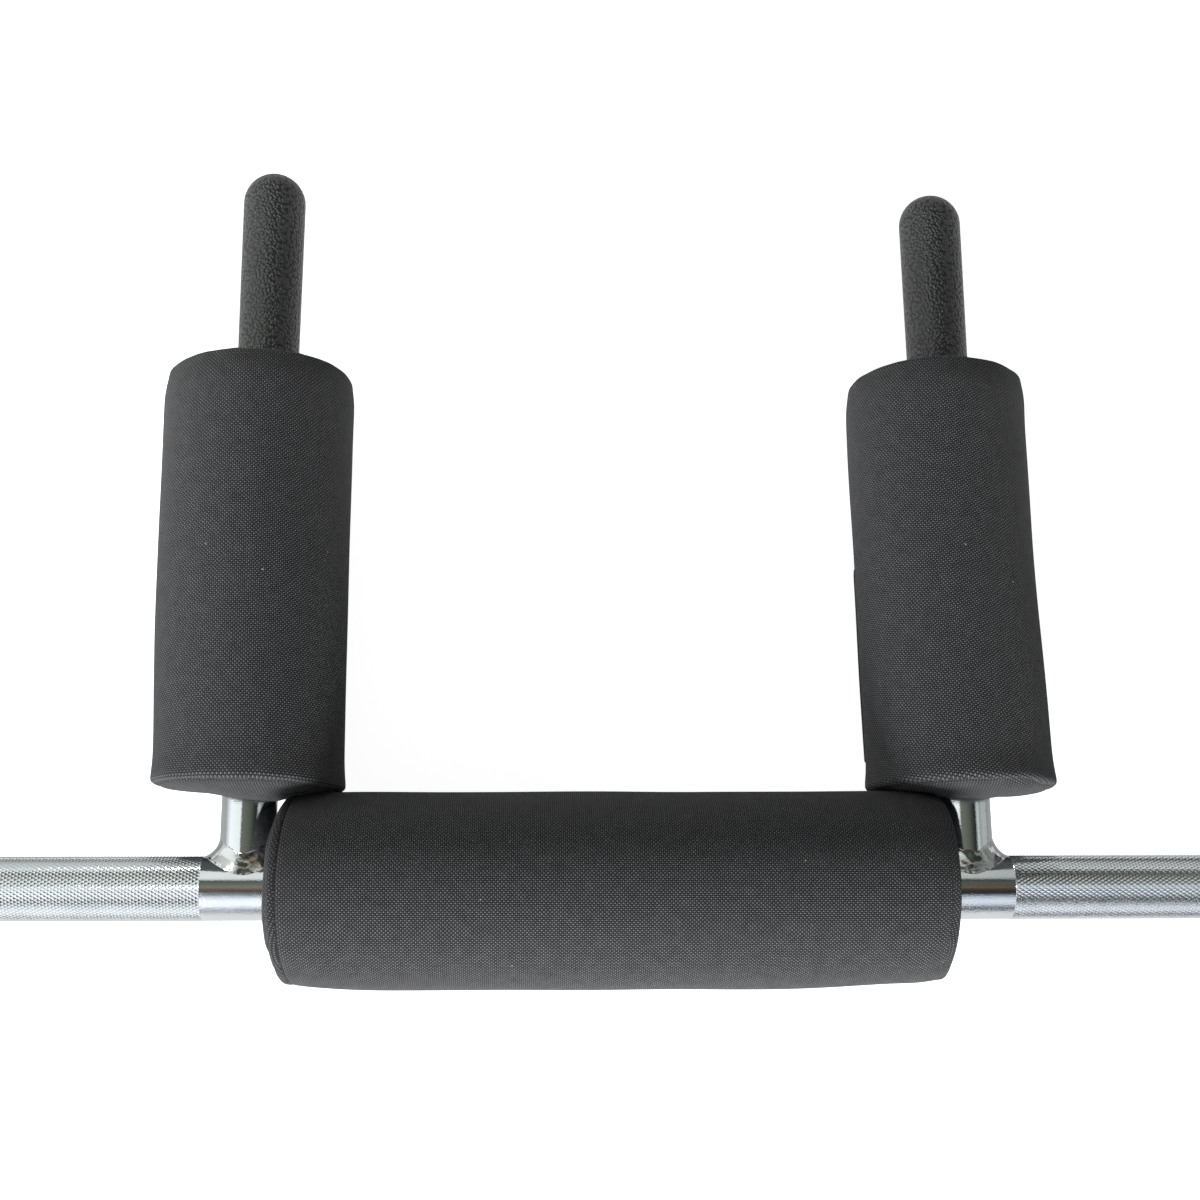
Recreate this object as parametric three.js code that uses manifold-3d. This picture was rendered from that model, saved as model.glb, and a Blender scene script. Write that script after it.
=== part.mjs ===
// Safety squat bar: a straight shaft with two welded arms, three foam pads and two turning sleeves.
// Millimetres. X runs along the shaft, Y from the shaft to the hand grips, Z is up.
// The origin is on the floor, under the middle of the shaft, and the bar lies on its three pads.

import * as THREE from 'three';
import { mergeVertices } from 'three/addons/utils/BufferGeometryUtils.js';
import Module from 'manifold-3d';

const wasm = await Module();
wasm.setup();

// Clearances
const seatGap = 0.3; // between pieces that touch on the real bar
const runningGap = 0.35; // between pieces that turn against each other
const cutOverrun = 5; // how far a cutting shape runs past what it cuts

// Shaft
const shaftDiameter = 32;
const betweenCollars = 1310;
const smoothLength = 406; // bare middle, between the two knurled runs
const knurlRise = 0.2;
const knurlEndRoom = 20; // bare metal between the knurl and a collar
const knurlChamfer = 0.6;
const shoulderInset = 6; // how far the full diameter runs into the collar
const shoulderHeight = 2; // step down to the journal
const shaftChamfer = 1;

// Arms and their welds
const armSpacing = 364;
const armDiameter = 28;
const armWall = 3;
const armReach = 372.7; // shaft axis to the tube's end
const weldLegOnShaft = 7;
const weldLegOverTop = 4; // the same leg where the tube rides over the top of the shaft
const weldLegOnArm = 8.5;
const weldHollowShare = 0.62; // how much of a round bead is left at the middle of its face

// Pads
const padDiameter = 97;
const padSeamDrop = 2.6; // the barrel's crown above its end seams
const padDome = 4.2; // how far the end panels bulge past the seams
const shoulderDip = 1; // how far a shoulder pad's end panels dip back at the tube
const padFlat = 0.5; // where the foam gives on the floor
const coverWall = 1.6;
const padGap = 0.6; // between the neck pad and the shoulder pads
const shoulderPadLength = 227;
const slitWidth = 2; // the cut that lets a pad close round its tube
const slitAngle = 38; // degrees below the horizontal, on the hidden side
const flapWidth = 30;
const flapThickness = 1.8;
const flapEndRoom = 14; // from the end seam to the flap

// Grips
const gripLength = 135;
const gripBaseDiameter = 32.6;
const gripTipDiameter = 33.7;
const gripEndWall = 12; // rubber between the bore and the tip, which leaves a wall round the dome
const leftGripOut = 8; // the left grip isn't pushed home

// Sleeves
const sleeveDiameter = 50;
const sleeveLength = 445;
const sleeveChamfer = 1.5;
const collarWidth = 30;
const collarDiameter = 78;
const collarHubDiameter = 62;
const collarFlangeWidth = 17;
const collarChamfer = 1.5;

// Bearings and what holds the sleeve on
const bushingWall = 3.6;
const innerBushingLength = 45;
const outerBushingLength = 30;
const bushingStep = 1.5; // ledge in the sleeve that a bushing stops against
const washerThickness = 2.5;
const ringGrooveDepth = 1.5;
const ringThickness = 2;
const ringHeight = 2.2; // how far a ring stands out of its groove
const ringOpening = 50; // degrees
const shaftEndLand = 6; // metal between the ring groove and the shaft's end
const shaftEndRoom = 2; // between the shaft's end and the end cap
const capThickness = 6;
const capDish = 2;
const capRim = 3.5;
const capDepth = 3; // the cap's ring below the sleeve's end
const capWall = 4; // sleeve wall round the end cap
const ringEar = 3; // radius of the ears on the cap's ring
const ringEarHole = 1.2;

// Facets
const shaftSides = 32;
const bearingSides = 24;
const padSides = 28;
const gripSides = 24;
const gripDomeSteps = 6;
const beadSteps = 32;
const beadSides = 8;
const earSides = 8;
const ringSteps = 14;

// The skin of a pad, and the layers under it, which have fewer points.
// The barrel: place along its half length, and share of the crown still left there.
// An end panel: place between tube and seam, and share of the bulge there.
const skinShares = {
  barrel: [[0, 1], [0.5, 0.94], [0.8, 0.74], [0.93, 0.42], [1, 0]],
  panel: [[0.9, 0.6], [0.7, 0.94], [0.5, 1]],
};
const innerShares = {
  barrel: [[0, 1], [0.8, 0.72], [1, 0]],
  panel: [[0.6, 0.96]],
};

const shaftRadius = shaftDiameter / 2;
const armRadius = armDiameter / 2;
const padRadius = padDiameter / 2;
const axisHeight = padRadius - padFlat;
const journalRadius = shaftRadius - shoulderHeight;
const housingRadius = journalRadius + runningGap + bushingWall + seatGap;
const sleeveRadius = sleeveDiameter / 2;
const gripBaseRadius = gripBaseDiameter / 2;
const gripTipRadius = gripTipDiameter / 2;

// Finishes
const chrome = { color: 0xd4d7da, roughness: 0.12, metalness: 1 };
const hardChrome = { color: 0xc6c9cc, roughness: 0.25, metalness: 1 };
const springSteel = { color: 0x4a4c50, roughness: 0.45, metalness: 1 };
const bronze = { color: 0xa8824a, roughness: 0.4, metalness: 1 };
const nylon = { color: 0x38393b, roughness: 0.9, metalness: 0 };
const tape = { color: 0x202123, roughness: 0.95, metalness: 0 };
const foam = { color: 0x2a2a2a, roughness: 1, metalness: 0 };
const rubber = { color: 0x2c2d2e, roughness: 0.6, metalness: 0 };
const plastic = { color: 0x1d1e20, roughness: 0.5, metalness: 0 };

const bar = new THREE.Group();

function addPiece(group, name, geometry, finish) {
  const mesh = new THREE.Mesh(geometry, new THREE.MeshStandardMaterial(finish));
  mesh.name = name;
  group.add(mesh);
}

// Solids for cutting and joining
function solid(geometry) {
  const bare = geometry.clone();
  bare.deleteAttribute('normal');
  bare.deleteAttribute('uv');
  const merged = mergeVertices(bare);
  return new wasm.Manifold(new wasm.Mesh({
    numProp: 3,
    vertProperties: new Float32Array(merged.attributes.position.array),
    triVerts: new Uint32Array(merged.index.array),
  }));
}

function geometryOf(body) {
  const mesh = body.getMesh();
  const geometry = new THREE.BufferGeometry();
  geometry.setAttribute('position', new THREE.BufferAttribute(new Float32Array(mesh.vertProperties), 3));
  geometry.setIndex(new THREE.BufferAttribute(new Uint32Array(mesh.triVerts), 1));
  geometry.computeVertexNormals();
  return geometry;
}

// A turned shape: the outline is [radius, place along the axis] pairs, and the axis is Y
function turnedAlongY(outline, sides) {
  const points = outline.map(([radius, along]) => new THREE.Vector2(radius, along));
  return new THREE.LatheGeometry(points, sides);
}

function turnedAlongX(outline, sides) {
  return turnedAlongY(outline, sides).rotateZ(-Math.PI / 2);
}

// A ring or tube: its outline closes on itself
function closed(outline) {
  return [...outline, outline[0]];
}

function tubeOutline(innerRadius, outerRadius, start, end) {
  return closed([[innerRadius, start], [outerRadius, start], [outerRadius, end], [innerRadius, end]]);
}

function rodAlongX(radius, length, sides) {
  return new THREE.CylinderGeometry(radius, radius, length, sides).rotateZ(-Math.PI / 2);
}

function rodAlongY(radius, start, end, sides) {
  return new THREE.CylinderGeometry(radius, radius, end - start, sides).translate(0, (start + end) / 2, 0);
}

// Places along the sleeve, measured from the middle of the bar
const collarFace = betweenCollars / 2;
const sleeveEnd = collarFace + sleeveLength;
const shoulderPlace = collarFace + shoulderInset;
const thrustWasherPlace = shoulderPlace + seatGap;
const innerBushingPlace = thrustWasherPlace + washerThickness + runningGap;
const innerLedge = innerBushingPlace + innerBushingLength + seatGap;
const capRingPlace = sleeveEnd - capDepth - ringThickness;
const capPlace = capRingPlace - seatGap - capThickness;
const recessFloor = capPlace - seatGap;
const shaftEnd = recessFloor - shaftEndRoom;
const snapRingPlace = shaftEnd - shaftEndLand - ringThickness;
const endWasherPlace = snapRingPlace - seatGap - washerThickness;
const outerBushingPlace = endWasherPlace - runningGap - outerBushingLength;
const outerLedge = outerBushingPlace - seatGap;

// Shaft
function shaftHalf() {
  const knurlStart = smoothLength / 2;
  const knurlEnd = collarFace - knurlEndRoom;
  const knurlRadius = shaftRadius + knurlRise;
  const grooveRadius = journalRadius - ringGrooveDepth;
  return [
    [shaftRadius, knurlStart],
    [knurlRadius, knurlStart + knurlChamfer],
    [knurlRadius, knurlEnd - knurlChamfer],
    [shaftRadius, knurlEnd],
    [shaftRadius, shoulderPlace - shaftChamfer],
    [shaftRadius - shaftChamfer, shoulderPlace],
    [journalRadius, shoulderPlace],
    [journalRadius, snapRingPlace - seatGap],
    [grooveRadius, snapRingPlace - seatGap],
    [grooveRadius, snapRingPlace + ringThickness + seatGap],
    [journalRadius, snapRingPlace + ringThickness + seatGap],
    [journalRadius, shaftEnd - shaftChamfer],
    [journalRadius - shaftChamfer, shaftEnd],
    [0, shaftEnd],
  ];
}

function makeShaft() {
  const right = shaftHalf();
  const left = right.map(([radius, along]) => [radius, -along]).reverse();
  return turnedAlongX([...left, ...right], shaftSides);
}

// Arms: tubes cut to sit on the shaft, made here with the arm's axis on Y
function shaftCutter() {
  const length = armDiameter + 2 * cutOverrun;
  return solid(rodAlongX(shaftRadius + seatGap, length, shaftSides));
}

function makeArm() {
  const outside = solid(rodAlongY(armRadius, 0, armReach, shaftSides));
  const bore = solid(rodAlongY(armRadius - armWall, -cutOverrun, armReach + cutOverrun, shaftSides));
  return geometryOf(outside.subtract(bore).subtract(shaftCutter()));
}

// A point of the weld. The angle runs round the arm. Off the line where the arm's skin meets the
// shaft's, the point lies some way along the shaft's skin and some way up the arm's.
function weldPoint(angle, alongShaft, upArm) {
  const across = armRadius * Math.cos(angle);
  const height = -armRadius * Math.sin(angle);
  const lift = Math.asin(height / shaftRadius);
  const outward = new THREE.Vector2(across / Math.cos(lift), height).normalize();
  const turn = lift + (outward.y * alongShaft) / shaftRadius;
  return [
    across + outward.x * alongShaft,
    shaftRadius * Math.cos(turn) + upArm,
    shaftRadius * Math.sin(turn),
  ];
}

// A ring bent onto that line, with a hollow face between its two toes
function makeWeld() {
  const ring = new THREE.TorusGeometry(armRadius, 1, beadSides, beadSteps);
  const places = ring.attributes.position;
  for (let i = 0; i < places.count; i += 1) {
    const angle = Math.atan2(places.getY(i), places.getX(i));
    const outward = Math.hypot(places.getX(i), places.getY(i)) - armRadius;
    const upward = places.getZ(i);
    const faceShare = (2 * Math.max(0, outward) * Math.max(0, upward)) ** 2;
    const size = 1 - (1 - weldHollowShare) * faceShare;
    const legOnShaft = weldLegOverTop + (weldLegOnShaft - weldLegOverTop) * Math.cos(angle) ** 2;
    places.setXYZ(i, ...weldPoint(angle, outward * size * legOnShaft, upward * size * weldLegOnArm));
  }
  const armCutter = solid(rodAlongY(armRadius + seatGap, -cutOverrun, armReach, shaftSides));
  const longShaft = solid(rodAlongX(shaftRadius + seatGap, armSpacing, shaftSides));
  return geometryOf(solid(ring).subtract(armCutter).subtract(longShaft));
}

// Pads: every layer follows the same outline, set in by its depth under the skin
function padLayer(pad, depth, shares) {
  const seamRadius = padRadius - padSeamDrop - depth;
  const halfLength = pad.length / 2 - padDome - depth;
  const barrel = shares.barrel.map(([place, crown]) => [
    seamRadius + padSeamDrop * crown,
    halfLength * place,
  ]);
  const endPanel = (tubeRadius) => {
    const panel = shares.panel.map(([place, bulge]) => [
      tubeRadius + (seamRadius - tubeRadius) * place,
      halfLength + padDome * bulge,
    ]);
    return [...panel, [tubeRadius, halfLength + padDome - pad.dip]];
  };
  const start = [...barrel.slice(1), ...endPanel(pad.startHole)];
  const mirrored = start.map(([radius, along]) => [radius, -along]).reverse();
  return [...mirrored, ...barrel, ...endPanel(pad.endHole)];
}

// A block that reaches from the tube out past the skin, on the hidden side of the pad
function radialBlock(pad, width, length) {
  const height = padRadius + flapThickness + cutOverrun;
  const block = new THREE.BoxGeometry(width, length, height).translate(0, 0, height / 2);
  return solid(block.rotateY(pad.hiddenSide * (Math.PI / 2 + THREE.MathUtils.degToRad(slitAngle))));
}

// The cut that lets a pad open, from end to end
function slitCutter(pad) {
  return radialBlock(pad, slitWidth, pad.length + cutOverrun);
}

function floorCutter(pad) {
  const block = new THREE.BoxGeometry(padDiameter, pad.length, cutOverrun);
  return solid(block.translate(0, 0, -axisHeight - cutOverrun / 2));
}

function makeCover(pad) {
  const skin = padLayer(pad, 0, skinShares);
  const lining = padLayer(pad, coverWall, innerShares).reverse();
  const shell = solid(turnedAlongY(closed([...skin, ...lining]), padSides));
  return geometryOf(shell.subtract(slitCutter(pad)).subtract(floorCutter(pad)));
}

// The foam is bored for its tube, and wider where it closes over the foot of a grip
function makeFoam(pad) {
  const outline = padLayer(pad, coverWall + seatGap, innerShares);
  const foamEnd = outline.at(-1)[1];
  const widened = [[pad.endHole, pad.gripFoot], [pad.startHole, pad.gripFoot]];
  const bore = pad.gripFoot < foamEnd ? widened : [];
  const body = solid(turnedAlongY(closed([...outline, ...bore]), padSides));
  return geometryOf(body.subtract(slitCutter(pad)));
}

// The closing flap: a strip that follows the barrel over the slit
function makeFlap(pad) {
  const outside = padLayer(pad, -seatGap - flapThickness, skinShares);
  const inside = padLayer(pad, -seatGap, skinShares).reverse();
  const shell = solid(turnedAlongY(closed([...outside, ...inside]), padSides));
  const length = pad.length - 2 * (padDome + flapEndRoom);
  return geometryOf(shell.intersect(radialBlock(pad, flapWidth, length)));
}

function addPad(pad) {
  const group = new THREE.Group();
  group.position.set(pad.across, pad.forward, axisHeight);
  group.rotation.z = pad.turn;
  addPiece(group, `${pad.name}_foam_core`, makeFoam(pad), foam);
  addPiece(group, `${pad.name}_pad_cover`, makeCover(pad), nylon);
  addPiece(group, `${pad.name}_pad_flap`, makeFlap(pad), tape);
  bar.add(group);
}

// Grips: a push-on sleeve with a round closed end, its axis on Y and its foot at zero
function makeGrip() {
  const boreRadius = armRadius + seatGap;
  const domeStart = gripLength - gripTipRadius;
  const outline = [
    [0, gripLength - gripEndWall],
    [boreRadius, gripLength - gripEndWall],
    [boreRadius, 0],
    [gripBaseRadius, 0],
  ];
  for (let step = 0; step < gripDomeSteps; step += 1) {
    const angle = (Math.PI / 2) * (step / gripDomeSteps);
    outline.push([gripTipRadius * Math.cos(angle), domeStart + gripTipRadius * Math.sin(angle)]);
  }
  return turnedAlongY([...outline, [0, gripLength]], gripSides);
}

// One side: the arm, its weld, its grip and its pad
function addArmSide(name, side, gripOut) {
  const shoulderPadStart = padRadius + padGap;
  const padMiddle = shoulderPadStart + shoulderPadLength / 2;
  const gripFoot = armReach + seatGap + gripEndWall + gripOut - gripLength;
  const group = new THREE.Group();
  group.position.set(side * armSpacing / 2, 0, axisHeight);
  addPiece(group, `${name}_arm`, makeArm(), chrome);
  addPiece(group, `${name}_weld`, makeWeld(), chrome);
  const grip = new THREE.Group();
  grip.position.y = gripFoot;
  addPiece(grip, `${name}_grip`, makeGrip(), rubber);
  group.add(grip);
  bar.add(group);
  addPad({
    name,
    across: side * armSpacing / 2,
    forward: padMiddle,
    turn: 0,
    length: shoulderPadLength,
    dip: shoulderDip,
    startHole: armRadius + seatGap,
    endHole: gripTipRadius + seatGap,
    gripFoot: gripFoot - seatGap - padMiddle,
    hiddenSide: -side,
  });
}

// Sleeves: every piece is turned about the shaft's axis
function sleeveOutline() {
  const recessRadius = sleeveRadius - capWall;
  const ringGroove = recessRadius + ringGrooveDepth;
  const boreRadius = housingRadius - bushingStep;
  return closed([
    [sleeveRadius, collarFace],
    [sleeveRadius, sleeveEnd - sleeveChamfer],
    [sleeveRadius - sleeveChamfer, sleeveEnd],
    [recessRadius, sleeveEnd],
    [recessRadius, capRingPlace + ringThickness + seatGap],
    [ringGroove, capRingPlace + ringThickness + seatGap],
    [ringGroove, capRingPlace - seatGap],
    [recessRadius, capRingPlace - seatGap],
    [recessRadius, recessFloor],
    [housingRadius, recessFloor],
    [housingRadius, outerLedge],
    [boreRadius, outerLedge],
    [boreRadius, innerLedge],
    [housingRadius, innerLedge],
    [housingRadius, collarFace],
  ]);
}

function collarOutline() {
  const boreRadius = sleeveRadius + seatGap;
  const hubRadius = collarHubDiameter / 2;
  const flangeRadius = collarDiameter / 2;
  const plateFace = collarFace + collarWidth;
  const flangeStart = plateFace - collarFlangeWidth;
  return closed([
    [boreRadius, collarFace],
    [hubRadius - collarChamfer, collarFace],
    [hubRadius, collarFace + collarChamfer],
    [hubRadius, flangeStart - collarChamfer],
    [hubRadius + collarChamfer, flangeStart],
    [flangeRadius - collarChamfer, flangeStart],
    [flangeRadius, flangeStart + collarChamfer],
    [flangeRadius, plateFace - collarChamfer],
    [flangeRadius - collarChamfer, plateFace],
    [boreRadius, plateFace],
  ]);
}

function bushingOutline(start, length) {
  return tubeOutline(journalRadius + runningGap, housingRadius - seatGap, start, start + length);
}

function washerOutline(start) {
  return tubeOutline(journalRadius + seatGap, housingRadius - runningGap, start, start + washerThickness);
}

function capOutline() {
  const capRadius = sleeveRadius - capWall - seatGap;
  const face = capPlace + capThickness;
  return [
    [0, capPlace],
    [capRadius, capPlace],
    [capRadius, face],
    [capRadius - capRim, face],
    [capRadius - capRim - capDish, face - capDish],
    [0, face - capDish],
  ];
}

// A ring open on one side, turned to stand square to the shaft
function openRing(innerRadius, outerRadius, place) {
  const half = THREE.MathUtils.degToRad(ringOpening) / 2;
  const outline = new THREE.Shape();
  outline.absarc(0, 0, outerRadius, half, 2 * Math.PI - half, false);
  outline.absarc(0, 0, innerRadius, 2 * Math.PI - half, half, true);
  const flat = { depth: ringThickness, bevelEnabled: false, curveSegments: ringSteps };
  return new THREE.ExtrudeGeometry(outline, flat).rotateY(Math.PI / 2).translate(place, 0, 0);
}

// The ring over the end cap has two ears with holes for the pliers
function makeCapRing() {
  const recessRadius = sleeveRadius - capWall;
  const innerRadius = recessRadius - ringHeight;
  const half = THREE.MathUtils.degToRad(ringOpening) / 2;
  const earPlace = innerRadius - ringEar / 2;
  let ring = solid(openRing(innerRadius, recessRadius + ringGrooveDepth - seatGap, capRingPlace));
  for (const side of [-1, 1]) {
    const middle = capRingPlace + ringThickness / 2;
    const move = [middle, side * earPlace * Math.sin(half), -earPlace * Math.cos(half)];
    const ear = rodAlongX(ringEar, ringThickness, earSides).translate(...move);
    const hole = rodAlongX(ringEarHole, ringThickness + cutOverrun, earSides).translate(...move);
    ring = ring.add(solid(ear)).subtract(solid(hole));
  }
  return geometryOf(ring);
}

function addSleeve(name, turn) {
  const group = new THREE.Group();
  group.position.z = axisHeight;
  group.rotation.z = turn;
  const add = (piece, geometry, finish) => addPiece(group, `${name}_${piece}`, geometry, finish);
  const turned = (outline) => turnedAlongX(outline, bearingSides);
  add('sleeve', turnedAlongX(sleeveOutline(), shaftSides), hardChrome);
  add('collar', turnedAlongX(collarOutline(), shaftSides), hardChrome);
  add('thrust_washer', turned(washerOutline(thrustWasherPlace)), bronze);
  add('inner_bushing', turned(bushingOutline(innerBushingPlace, innerBushingLength)), bronze);
  add('outer_bushing', turned(bushingOutline(outerBushingPlace, outerBushingLength)), bronze);
  add('end_washer', turned(washerOutline(endWasherPlace)), bronze);
  const snapInner = journalRadius - ringGrooveDepth + seatGap;
  add('snap_ring', openRing(snapInner, journalRadius + ringHeight, snapRingPlace), springSteel);
  add('end_cap', turned(capOutline()), plastic);
  add('cap_ring', makeCapRing(), springSteel);
  bar.add(group);
}

// The bar
const shaft = new THREE.Group();
shaft.position.z = axisHeight;
addPiece(shaft, 'bar_shaft', makeShaft(), chrome);
bar.add(shaft);

addPad({
  name: 'neck',
  across: 0,
  forward: 0,
  turn: -Math.PI / 2,
  length: armSpacing - armDiameter - 2 * seatGap,
  dip: weldLegOnShaft + seatGap,
  startHole: shaftRadius + seatGap,
  endHole: shaftRadius + seatGap,
  gripFoot: Infinity,
  hiddenSide: -1,
});

addArmSide('left', -1, leftGripOut);
addArmSide('right', 1, 0);

addSleeve('left', Math.PI);
addSleeve('right', 0);

export default bar;
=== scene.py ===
"""Safety squat bar: its finished surfaces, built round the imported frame.

The bar lies on its three pads. X runs along the shaft, Y from the shaft to the hand grips, Z is up.
Sizes are in millimetres in the classes, and become metres where a mesh is made.
"""
import logging
import math
from collections import Counter
from dataclasses import dataclass
from enum import Enum
from typing import Callable, Sequence

import bmesh
import bpy
from mathutils import Matrix, Vector, noise


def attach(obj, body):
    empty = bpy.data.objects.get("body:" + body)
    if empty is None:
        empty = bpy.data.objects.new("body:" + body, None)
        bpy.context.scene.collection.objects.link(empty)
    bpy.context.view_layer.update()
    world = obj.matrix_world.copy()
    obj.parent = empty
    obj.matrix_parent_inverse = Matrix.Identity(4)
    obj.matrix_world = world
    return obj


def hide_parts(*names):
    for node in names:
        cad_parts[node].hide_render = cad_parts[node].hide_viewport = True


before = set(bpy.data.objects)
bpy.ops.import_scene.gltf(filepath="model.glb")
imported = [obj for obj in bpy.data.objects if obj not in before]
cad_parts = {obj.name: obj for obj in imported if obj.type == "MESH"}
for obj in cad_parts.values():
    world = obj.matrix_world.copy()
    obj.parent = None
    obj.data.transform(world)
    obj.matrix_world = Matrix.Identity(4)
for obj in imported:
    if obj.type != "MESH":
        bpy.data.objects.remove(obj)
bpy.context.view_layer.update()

LOG = logging.getLogger("squat_bar")
MM = 0.001
TURN = 2 * math.pi
UP = Vector((0, 0, 1))

BAR = "bar"
AXIS_HEIGHT = 48.0
SHAFT_RADIUS = 16.0
ARM_RADIUS = 14.0
ARM_PLACE = 182.0
COLLAR_FACE = 655.0
NECK_SEAM = 163.2
NECK_RADIUS = 48.9
FLOOR_GAP = 0.05
MERGE_GAP = 0.002
WEAVE_MAP = "weave"
GRAIN_MAP = "grain"

MATH = "ShaderNodeMath"
MIX = "ShaderNodeMix"
RANGE = "ShaderNodeMapRange"
NOISE = "ShaderNodeTexNoise"
CELLS = "ShaderNodeTexVoronoi"
BUMP = "ShaderNodeBump"

Outline = list[tuple[float, float]]
Socket = bpy.types.NodeSocket
Tree = bpy.types.NodeTree
Material = bpy.types.Material
Object = bpy.types.Object


class Slot(Enum):
    """The record's material slots of the pieces that are made here."""

    SHAFT = "shaft_chrome"
    ARM = "arm_chrome"
    WELD = "weld_chrome"
    SLEEVE = "sleeve_chrome"
    GRIP = "grip_rubber"
    FOAM = "foam"
    NYLON = "woven_nylon"
    TAPE = "closure_tape"
    SPRING = "spring_steel"
    CAP = "cap_plastic"


class Side(Enum):
    """Which end of the bar: the sign of X there."""

    LEFT = -1
    RIGHT = 1

    @property
    def label(self) -> str:
        """The word that node names begin with."""
        return self.name.lower()


class Axis(Enum):
    """The direction a turned piece runs in."""

    ALONG_BAR = (1, 0, 0)
    ALONG_ARM = (0, 1, 0)

    @property
    def vector(self) -> Vector:
        """The direction as a vector."""
        return Vector(self.value)


# Colours and nodes

def linear(code: str) -> tuple[float, float, float, float]:
    """Turns an sRGB hex colour to linear.

    Args:
        code: six hex digits, such as "D4D7DA".

    Returns:
        Red, green, blue and alpha for a colour socket.
    """
    channels = [int(code[start:start + 2], 16) / 255 for start in (0, 2, 4)]
    bent = [c / 12.92 if c <= 0.04045 else ((c + 0.055) / 1.055) ** 2.4 for c in channels]
    return (*bent, 1.0)


def fill(tree: Tree, node: bpy.types.Node, inputs: dict | Sequence) -> None:
    """Sets or links a node's inputs.

    Args:
        tree: the node tree.
        node: the node.
        inputs: a value or an output socket for each input, by name or number, or in the inputs' order.
    """
    for key, value in inputs.items() if isinstance(inputs, dict) else enumerate(inputs):
        if isinstance(value, Socket):
            tree.links.new(value, node.inputs[key])
        else:
            node.inputs[key].default_value = value


def add_node(tree: Tree, kind: str, inputs: dict | Sequence = (), **settings) -> bpy.types.Node:
    """Adds one node, sets its properties, and fills its inputs.

    Args:
        tree: the node tree.
        kind: the node's type, such as "ShaderNodeBump".
        inputs: what goes into its inputs, as in fill.
        settings: the node's own properties.

    Returns:
        The node.
    """
    made = tree.nodes.new(kind)
    for key, value in settings.items():
        setattr(made, key, value)
    fill(tree, made, inputs)
    return made


def new_material(name: str, uv_map: str = "") -> tuple[Material, Tree, bpy.types.Node, Socket]:
    """Starts a material with one Principled shader.

    Args:
        name: the material's real name.
        uv_map: the UV map that its patterns follow, or nothing for the piece's own space.

    Returns:
        The material, its tree, the shader, and the place that its patterns read.
    """
    material = bpy.data.materials.new(name)
    material.use_nodes = True
    tree = material.node_tree
    tree.nodes.clear()
    shader = add_node(tree, "ShaderNodeBsdfPrincipled")
    add_node(tree, "ShaderNodeOutputMaterial", {"Surface": shader.outputs[0]})
    if uv_map:
        place = add_node(tree, "ShaderNodeUVMap", uv_map=uv_map).outputs[0]
    else:
        place = add_node(tree, "ShaderNodeTexCoord").outputs["Object"]
    return material, tree, shader, place


# Finishes

@dataclass(frozen=True)
class ChromePlate:
    """Chromium electroplated over nickel on polished steel tube.

    The plate is a near mirror with a cold tint. Fine polishing haze and a faint speckle break it up,
    and the front of the bar, past the first place of pitted_places, is pitted.
    """

    name: str = "bright chrome plate on steel"
    tint: str = "E2E5E8"
    dull_tint: str = "CFD3D6"
    roughness: float = 0.06
    haze: float = 0.10
    haze_share: tuple[float, float] = (0.45, 0.75)
    speckle_size: float = 0.7
    speckle_height: float = 0.035
    pitting: float = 5.0
    pitted_places: tuple[float, float] = (-3.0, -9.0)
    wave_size: float = 16.0
    wave_height: float = 0.03

    def build(self) -> Material:
        """Makes the material."""
        material, tree, shader, place = new_material(self.name)
        cloud, speckle = (
            add_node(tree, NOISE, {"Vector": place, "Scale": 1 / (size * MM), "Detail": detail}).outputs[0]
            for size, detail in ((self.wave_size, 4.0), (self.speckle_size, 3.0)))
        tone = add_node(tree, MIX, {"Factor": cloud, "A": linear(self.dull_tint), "B": linear(self.tint)},
                        data_type="RGBA")
        hazy = add_node(tree, RANGE, (speckle, *self.haze_share, self.roughness, self.roughness + self.haze))
        waves = add_node(tree, BUMP, {"Height": cloud, "Distance": self.wave_height * MM})
        ahead = add_node(tree, "ShaderNodeSeparateXYZ", (place,)).outputs["Y"]
        first, last = self.pitted_places
        pitted = add_node(tree, RANGE, (ahead, last * MM, first * MM, self.pitting, 1.0)).outputs[0]
        pits = add_node(tree, MATH, (speckle, pitted), operation="MULTIPLY").outputs[0]
        grain = add_node(tree, BUMP, {"Height": pits, "Normal": waves.outputs[0],
                                      "Distance": self.speckle_height * MM})
        fill(tree, shader, {"Base Color": tone.outputs["Result"], "Roughness": hazy.outputs[0],
                            "Normal": grain.outputs[0], "Metallic": 1.0})
        return material


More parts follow.
